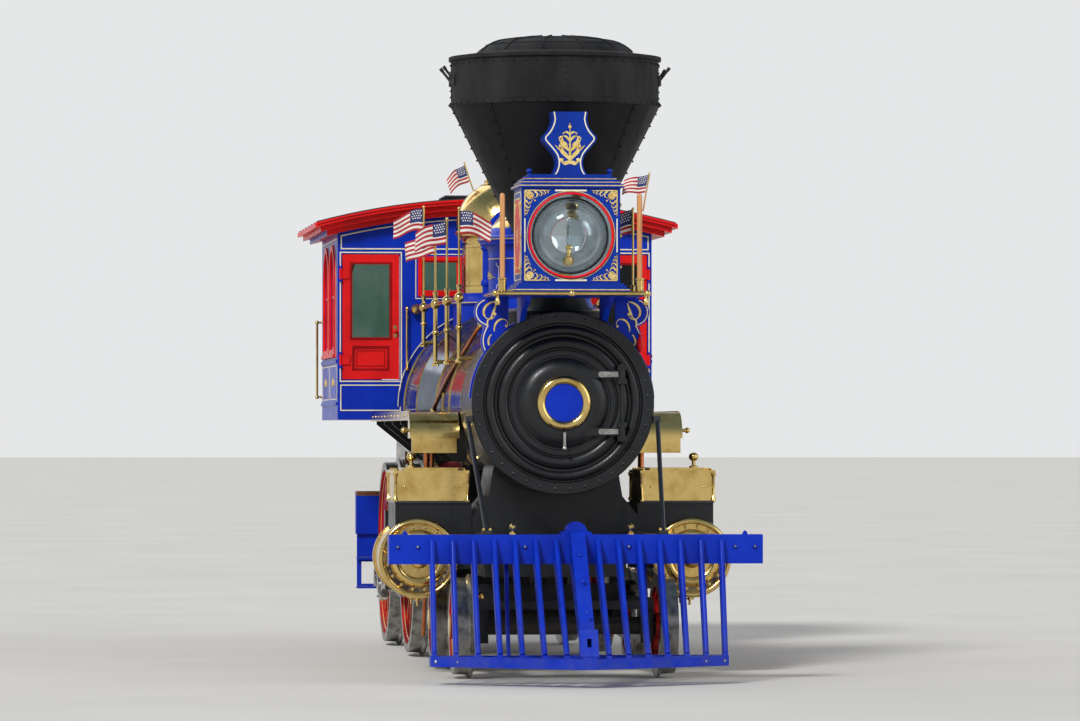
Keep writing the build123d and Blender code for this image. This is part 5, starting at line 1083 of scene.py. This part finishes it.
def cab_door_dressing(name, side):
    """Mouldings round the door's glass and panel, and its knob plate."""
    craft = Craft("cab_door_trim_" + name, name + "_cab_door", "red_paint")
    place, sunk = board("front", CAB_FRONT + 0.002), board("front", CAB_FRONT + 0.014)
    craft.panel(place, (side * 0.868, 2.553), (side * 1.192, 3.172), 0.018, 0.008, "dark_red")
    for inner, width, rise in ((0.01, 0.018, 0.008), (0.04, 0.006, 0.003)):
        craft.panel(sunk, (side * (0.875 + inner), 2.285 + inner), (side * (1.185 - inner), 2.49 - inner),
                width, rise, "dark_red", sink=0.001)
    craft.slab([(side * 0.815, 2.56), (side * 0.843, 2.56), (side * 0.843, 2.66), (side * 0.815, 2.66)],
            place, 0.004, "brass")
    craft.done()


for name, side in NAMED_SIDES:
    cab_door_dressing(name, side)


# Cylinders, chests and running gear

@piece()
def cylinder_dressing(craft):
    """Nuts on the covers and chests, the jackets' bands, drain cocks and the chests' corner posts."""
    for side in SIDES:
        middle = side * CYLINDER_Y
        for station in (2.405, 3.095):
            craft.ring(towards(spot(station, middle, CYLINDER_H), AHEAD), 0.2705, 0.006, "brass", 56)
        for a in angles(16):
            y, z = spin(a, 0.232)
            craft.stud(spot(2.3375, middle + y, CYLINDER_H + z), AHEAD, 0.013, "brass", 6)
        for station in (2.47, 3.03):
            craft.turned(mm((10, -85), (10, -50), (18, -46), (18, -30), (10, -26), (10, 4)),
                    spot(station, middle, 0.57), "brass", 10)
            craft.bar(spot(station, middle - 0.03, 0.532), spot(station, middle + 0.03, 0.532), 0.006,
                    "brass", 8)
        for station, y in product((2.401, 3.099), (0.651, 1.189)):
            craft.turned(mm((20, 0), (20, 16), (12, 28), (12, 180), (20, 192), (20, 212)),
                    spot(station, side * y, 1.262), "brass", 12)
        for k, y in product(range(6), (0.668, 1.174)):
            craft.stud(spot(2.45 + 0.12 * k, side * y, 1.492), UP, 0.013, "brass", 6)
        craft.panel(board("front", 2.4, side * 0.92), (-0.215, 1.295), (0.215, 1.445), 0.005, 0.003,
                "brass")
        for y in (0.72, 1.12):
            craft.stud(spot(2.4, side * y, 1.37), AHEAD, 0.01)


CRANK, MAIN_ROD = 0.305, 2.375
CRANK_ANGLES = {1: -135, -1: -45, None: 0}


def crank_pin(side, station):
    """The middle of a crank pin at rest, with no distance to the side."""
    x, z = spin(radians(CRANK_ANGLES[side]), CRANK)
    return spot(station, 0, DRIVER_RADIUS) + Vector((x, 0, z))


def wheel_dressing(name, body, station, driven):
    """Gilt lines on the spokes and rims, and a turned cap over each axle's end."""
    craft = Craft(name, body, "red_paint")
    if driven:
        radius, spokes, hub, inner = DRIVER_RADIUS, 15, 0.15, 0.637
        face, bore, finish = 0.7775, 0.098, "steel"
    else:
        radius, spokes, hub, inner = TRUCK_RADIUS, 10, 0.095, 0.25
        face, bore, finish = 0.7755, 0.072, "brass"
    centre = spot(station, 0, radius)
    for side in SIDES:
        def out(y):
            return centre + Vector((0, side * y, 0))
        craft.turned([(bore, -0.002), (bore, 0.004), (bore * 0.8, 0.008), (bore * 0.45, 0.0095), (0, 0.01)],
                towards(out(0.835), (0, side, 0)), finish, 24)
        craft.ring(towards(out(0.8345), (0, 1, 0)), hub - 0.012, 0.003, "gilt", 40, 6)
        craft.ring(towards(out(0.7948), (0, 1, 0)), inner + 0.02, 0.0035, "gilt", 64, 6)
        start = radians(CRANK_ANGLES[side if driven else None])
        for turn in angles(spokes):
            angle = start - side * turn
            way, across = Vector((cos(angle), 0, sin(angle))), Vector((-sin(angle), 0, cos(angle)))
            craft.put([out(y) + way * reach + across * off for reach in (hub + 0.006, inner + 0.004)
                    for off in (-0.004, 0.004) for y in (face - 0.002, face + 0.002)], BOX, "gilt")
    craft.done()


for end, station in zip(("front", "rear"), TRUCK_WHEELS):
    wheel_dressing(f"truck_{end}_lines", f"truck_{end}_wheels", station, False)
for end, station in zip(("front", "rear"), DRIVERS):
    wheel_dressing(f"{end}_driver_lines", f"{end}_drivers", station, True)


def oil_cup(craft, place, foot, neck, bowl, lift):
    """A small turned cup with a lid."""
    craft.turned([(foot, -0.002), (foot, lift), (neck, lift + 0.008), (bowl, lift + 0.022),
            (bowl, lift + 0.032), (0, lift + 0.04)], place, "brass", 14)


def rod_dressing():
    """Bolts, keys and oil cups on the rods and crossheads."""
    for name, side in NAMED_SIDES:
        outward = Vector((0, side, 0))
        craft = Craft("coupling_rod_fittings_" + name, name + "_coupling_rod")
        for station in DRIVERS:
            pin = crank_pin(side, station)
            for dx, dz in product((-0.115, 0.115), (0.022, -0.022)):
                craft.stud(pin + Vector((dx, side * 0.897, dz)), outward, 0.011, "steel", 6)
            oil_cup(craft, pin + Vector((0, side * 0.872, 0.121)), 0.022, 0.012, 0.018, 0.012)
        craft.done()
        craft = Craft("main_rod_fittings_" + name, name + "_main_rod")
        crank = crank_pin(side, DRIVERS[0])
        height = RAIL + CYLINDER_H
        wrist = Vector((crank.x + sqrt(MAIN_ROD ** 2 - (height - crank.z) ** 2), 0, height))
        along = (wrist - crank).normalized()
        up = Vector((-along.z, 0, along.x))
        for da, du in product((-0.105, 0.105), (-0.075, 0.075)):
            craft.stud(crank + along * da + up * du + outward * 1.05, outward, 0.013, "steel", 6)
        oil_cup(craft, towards(crank + along * 0.06 + up * 0.137 + outward * 1.02, up), 0.02, 0.011, 0.017,
                0.01)
        for da in (-0.118, 0.118):
            low = crank + along * da - up * 0.112 + outward * 1.02
            craft.bar(low, low + up * 0.224, 0.012, "brass", 8)
        craft.done()
        craft = Craft("crosshead_fittings_" + name, name + "_crosshead")
        for dx, dz in product((-0.11, 0.11), (-0.04, 0.04)):
            craft.stud(wrist + Vector((dx, side * 1.1, dz)), outward, 0.01, "steel", 6)
        craft.turned(mm((34, -2), (34, 6), (20, 12), (20, 20), (0, 22)),
                towards(wrist + outward * 1.1, outward), "steel", 6)
        craft.done()


rod_dressing()


@piece("truck", "dark_iron")
def truck_dressing(craft):
    """Side springs, hangers and bolts on the truck's frame."""
    middle = 2.75
    section = ((0.575, 0), (0.635, 0), (0.635, 0.0105), (0.575, 0.0105))
    for side in SIDES:
        for station in TRUCK_WHEELS:
            for ds, h in product((-0.075, 0.075), (0.26, 0.44)):
                craft.stud(spot(station + ds, side * 0.65, h), (0, side, 0), 0.013, "iron", 6)
            craft.stud(spot(station, side * 0.605, 0.56), UP, 0.022, "brass", 6)
        for leaf in range(5):
            half, rise = 0.52 - 0.085 * leaf, 0.062 - 0.011 * leaf
            rows = []
            for part in evenly(1, 12):
                h = 0.578 + rise - 0.05 * (half / 0.52) ** 2 * part ** 2
                rows.append([spot(middle - half * part, side * y, h + dz) for y, dz in section])
            craft.skin(rows, "iron")
        band = spot(middle, side * 0.605, 0.5605)
        craft.box(band - Vector((0.04, 0.036, 0)), band + Vector((0.04, 0.036, 0.1035)), "iron")
        for station in (middle - 0.505, middle + 0.505):
            foot = spot(station, side * 0.605, 0.558)
            craft.bar(foot, foot + UP * 0.052, 0.014, "iron", 8)


@piece(slot="blue_paint")
def pilot_dressing(craft):
    """Bolts on the beam, knobs on its top, and the rivets along the pilot's bars."""
    face = board("front", 0.9)
    for u in (-1.29, -1.146, -0.375, 0.375, 1.146, 1.29):
        craft.disc(u, 0.955, 0.02, face, 0.012, "blue", 10)
        craft.disc(u, 0.955, 0.011, face, 0.024, "steel", 8)
    for y in (-0.453, 0.4):
        craft.turned(mm((26, -1), (26, 10), (12, 18), (12, 30), (24, 44), (24, 62), (10, 76), (0, 78)),
                spot(0.98, y, 1.04), "brass", 14)
    for side in SIDES:
        for number in range(1, 8):
            y = 1.045 * number / 7
            craft.stud(spot(0.014 + 0.62 * number / 7, side * (y - 0.008), 0.142), (0.86, side * 0.51, 0),
                    0.012, "steel")
            craft.stud(spot(0.85, side * y, 0.96), (0.75, 0, 0.65), 0.009, "steel")
        craft.stud(spot(0.98, side * 1.23, 1.04), UP, 0.02, "blue", 6)
    for h, station in mm((500, 206), (720, 466), (900, 678)):
        craft.stud(spot(station, 0, h), (0.77, 0, 0.64), 0.016, "blue")


@piece(slot="dark_iron")
def chassis_dressing(craft):
    """Bolts along the frames, the yoke and the boards' brackets, and the spring bands."""
    for side in SIDES:
        spots = [(station, h) for station in (1.45, 1.75, 4.45, 4.75, 5.05, 7.0, 7.6, 9.05)
                for h in (0.96, 1.01)]
        spots += [(station + ds, h) for station in DRIVERS for ds in (-0.175, 0.175)
                for h in (0.6, 0.72, 0.84)]
        for station, h in spots:
            craft.stud(spot(station, side * 0.62, h), (0, side, 0), 0.012, "black", 6)
        for station in DRIVERS:
            for ds in (-0.4, 0.4):
                craft.turned(mm((26, -2), (26, 12), (14, 16), (14, 30), (0, 30)),
                        spot(station + ds, side * 0.575, 1.1643), "iron", 8)
            band = spot(station, side * 0.575, 1.115)
            craft.box(band - Vector((0.05, 0.041, 0.07)), band + Vector((0.05, 0.041, 0.07)), "iron")
        for y in (0.65, 0.78, 0.92, 1.06):
            craft.stud(spot(4.23, side * y, 1.125), AHEAD, 0.012, "black", 6)


# Inside the cab

@piece()
def backhead_dressing(craft):
    """The gauge's dial, the water glass, valves, pipes and the rivets round the backhead."""
    face = 8.18
    dial = board("back", 8.2428, 0, AXIS + 0.52)
    craft.turned([(0.098, -0.002), (0.098, 0.002), (0, 0.0022)], dial, "dial", 40)
    craft.ring(dial @ Matrix.Translation((0, 0, 0.003)), 0.099, 0.005, "brass", 40)
    for k in range(25):
        a = radians(225 - 270 * k / 24)
        inner, width = (0.072, 0.004) if k % 4 == 0 else (0.08, 0.002)
        craft.ribbon([spin(a, inner), spin(a, 0.088)], dial, width, 0.0034, "black")
    a = radians(100)
    craft.ribbon([spin(a, -0.02), spin(a, 0.074)], dial, [0.007, 0.002], 0.005, "red")
    craft.disc(0, 0, 0.008, dial, 0.008, "brass", 12)
    for a in angles(34):
        if sin(a) > -0.45:
            craft.stud(on_barrel(face, 0.69, a)[0], -AHEAD, 0.012, "satin_black")
    # The water glass.
    y, out = 0.28, face + 0.075
    craft.bar(spot(out, y, AXIS - 0.02), spot(out, y, AXIS + 0.26), 0.011, "glass")
    for h in (AXIS - 0.03, AXIS + 0.27):
        craft.turned(mm((18, -24), (24, -12), (24, 12), (18, 24)), spot(out, y, h), "brass", 12)
        craft.bar(spot(face - 0.001, y, h), spot(out, y, h), 0.012, "brass", 10)
    craft.ball(spot(out, y, AXIS + 0.305), 0.014, "brass", 10)
    for y, h in ((-0.3, AXIS + 0.3), (-0.42, AXIS + 0.1), (-0.3, AXIS + 0.52)):
        craft.bar(spot(face - 0.001, y, h), spot(face + 0.085, y, h), 0.016, "brass", 10)
        hub = spot(face + 0.092, y, h)
        craft.ring(towards(hub, AHEAD), 0.042, 0.006, "iron", 24)
        for k in range(4):
            craft.bar(hub, hub + Vector((0, *spin(pi * k / 2, 0.042))), 0.004, "iron", 6)
    for path, radius in (
            (mm((8190, -300, 520), (8215, -120, 600), (8215, -20, 660), (8200, 0, 635)), 0.008),
            (mm((8215, -420, 80), (8215, -460, -100), (8215, -440, -480)), 0.014),
            (mm((8215, -300, 280), (8215, -360, 100), (8215, -380, -460)), 0.011)):
        craft.tube([spot(s, y, AXIS + h) for s, y, h in smoothed(path, 5)], radius, "copper")
    craft.ball(spot(8.43, -0.56, 2.482), 0.03, "wood_tall")
    craft.ball(spot(8.3703, -0.42, AXIS + 0.33), 0.02, "wood_tall")


BUTTONS = [(a, b) for a in (-0.6, -0.2, 0.2, 0.6) for b in (-0.4, 0.4)]


def seat(name, side):
    """A panelled box and a sewn leather cushion in the place of each packed seat."""
    wood = Craft("seat_box_" + name, slot="varnished_wood")
    x0, x1, wall = at(9.0), at(8.3), 1.2597
    floor = RAIL + 1.9303
    for near, out, rise, top in ((0.86, 0.0, 0.0, 0.365), (0.85, 0.008, 0.365, 0.38)):
        low, high = sorted((side * near, side * wall))
        wood.box((x0 - out, low, floor + rise), (x1 + out, high, floor + top), "wood_long")
    place = board("right" if side > 0 else "left", MIDDLE, side * 0.86, floor - RAIL)
    u0, u1 = sorted((side * x0, side * x1))
    for first, last in ((u0 + 0.04, (u0 + u1) / 2 - 0.02), ((u0 + u1) / 2 + 0.02, u1 - 0.04)):
        wood.panel(place, (first, 0.05), (last, 0.325), 0.022, 0.01, "wood_tall")
    box = wood.done()
    columns, rows = 28, 16
    top, deep = floor + 0.381, 0.069
    inner, outer = 0.852, wall - 0.003
    middle, half_long, half_wide = ((x0 + x1) / 2, (inner + outer) / 2), (x1 - x0) / 2, (outer - inner) / 2
    points = []
    for layer, b, a in product((0, 1), evenly(1, rows), evenly(1, columns)):
        pull = 0.01 * (1 - abs(a) ** 6) * (abs(b) ** 8) + 0.01 * (1 - abs(b) ** 6) * (abs(a) ** 8)
        x = middle[0] + a * (half_long + 0.006 - 0.01 * abs(b) ** 6)
        y = middle[1] + b * (half_wide - 0.006 * abs(a) ** 6)
        z = top
        if layer == 0:
            crown = (1 - abs(a) ** 4) * (1 - abs(b) ** 4)
            dimple = sum(0.013 * exp(-(hypot((a - ca) * half_long, (b - cb) * half_wide) / 0.028) ** 2)
                    for ca, cb in BUTTONS)
            z += deep * (0.42 + 0.58 * crown) - dimple * crown
        points.append((x, side * (y - (pull if b > 0 else -pull)), z))
    count = (rows + 1) * (columns + 1)
    faces = grid(columns, rows) + grid(columns, rows, count)
    rim = [j * (columns + 1) for j in range(rows + 1)]
    rim += [rows * (columns + 1) + i for i in range(1, columns + 1)]
    rim += [j * (columns + 1) + columns for j in range(rows - 1, -1, -1)]
    rim += range(columns - 1, 0, -1)
    faces += [(a, b, count + b, count + a) for a, b in zip(rim, rim[1:] + rim[:1])]
    pad = Craft("seat_cushion_" + name, slot="varnished_wood")
    pad.put(points, faces, "leather", smooth=True)
    cushion = pad.done()
    smooth = cushion.modifiers.new("soft", "SUBSURF")
    smooth.levels = smooth.render_levels = 1
    trim = Craft("seat_buttons_" + name, slot="varnished_wood")
    for ca, cb in BUTTONS:
        trim.turned(mm((9, -6), (9, 1), (6, 4), (0, 5)),
                (middle[0] + ca * half_long, side * (middle[1] + cb * half_wide), top + deep * 0.8),
                "leather", 10)
    trim.done()
    return box


left_seat, right_seat = (seat(name, side) for name, side in NAMED_SIDES)
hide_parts("cab_seats")


# Flags

def flag(name, pole_top, lean, heading, length, height, seed):
    """A small flag that streams from its pole: stripes and a plain canton with dots, in rippling cotton."""
    columns, rows = 26, 18
    place = Matrix.Translation(pole_top) @ Matrix.Rotation(-lean, 4, "X")
    place = place @ Matrix.Rotation(radians(-heading), 4, "Z")
    points, looks = [], []
    for j, i in product(range(rows + 1), range(columns + 1)):
        drop, part = height * j / rows, i / columns
        ripple = 0.014 * (0.2 + part) * sin(part * 7.2 + seed + drop * 14)
        sag = 0.3 * length * part ** 1.6 + 0.008 * sin(part * 6 + seed * 1.7)
        lift = 0.1 * length * part * (drop / height - 0.5)
        points.append(place @ Vector((ripple, -0.008 - length * part * 0.93, -0.008 - drop - sag + lift)))
    for j, i in product(range(rows), range(columns)):
        canton = i < columns * 0.42 and j < rows * 0.56
        looks.append("cloth_blue" if canton else ("cloth_red" if (j // 2) % 2 == 0 else "cloth_white"))
    for j in range(1, int(rows * 0.56) - 1, 2):
        for i in range(1 + (j // 2) % 2, int(columns * 0.42), 2):
            looks[j * columns + i] = "cloth_white"
    cloth = new_object(name, painted_mesh(name, points, grid(columns, rows), looks, [True] * len(looks)))
    thick = cloth.modifiers.new("thickness", "SOLIDIFY")
    thick.thickness = 0.0012
    thick.offset = 0
    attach(cloth, "locomotive")
    return cloth


def raise_flags():
    """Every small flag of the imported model, as cloth, and the brass balls on the poles."""
    # Name, station, y and height of the pole's top, its lean in radians, the flag's heading, length, height.
    table = [("flag_lamp", 1.275, 0.572, 3.65, atan2(0.0467, 0.27), 28, 0.185, 0.13)]
    for number, (station, top, right, left) in enumerate((
            (3.03, 3.46, 200, 18), (4.11, 3.42, 16, 30), (5.18, 3.37, 24, 14), (6.32, 3.6, 12, 26)), 1):
        table.append((f"flag_right_{number}", station, -0.66, top, 0.0, right, 0.26, 0.18))
        table.append((f"flag_left_{number}", station, 0.66, top, 0.0, left, 0.26, 0.18))
    table.append(("flag_dome", 6.3, -0.33, 3.96, atan2(-0.072, 0.2184), 20, 0.19, 0.14))
    balls = Craft("pole_ends")
    for number, (name, station, y, h, lean, heading, length, height) in enumerate(table):
        flag(name, spot(station, y, h), lean, heading, length, height, 1.3 * number)
        balls.ball(spot(station, y, h + 0.006), 0.012 if length > 0.2 else 0.009, "gilt", 10)
    for side in SIDES:
        balls.turned(mm((34, 0), (34, 6), (29.5, 10), (29.5, 82), (34, 86), (34, 96), (20, 100)),
                spot(1.275, side * 0.5, LAMP_H), "brass", 16)
        balls.ball(spot(1.275, side * 0.5, 3.49), 0.019, "staff")
    balls.done()
    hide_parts("flags")


raise_flags()
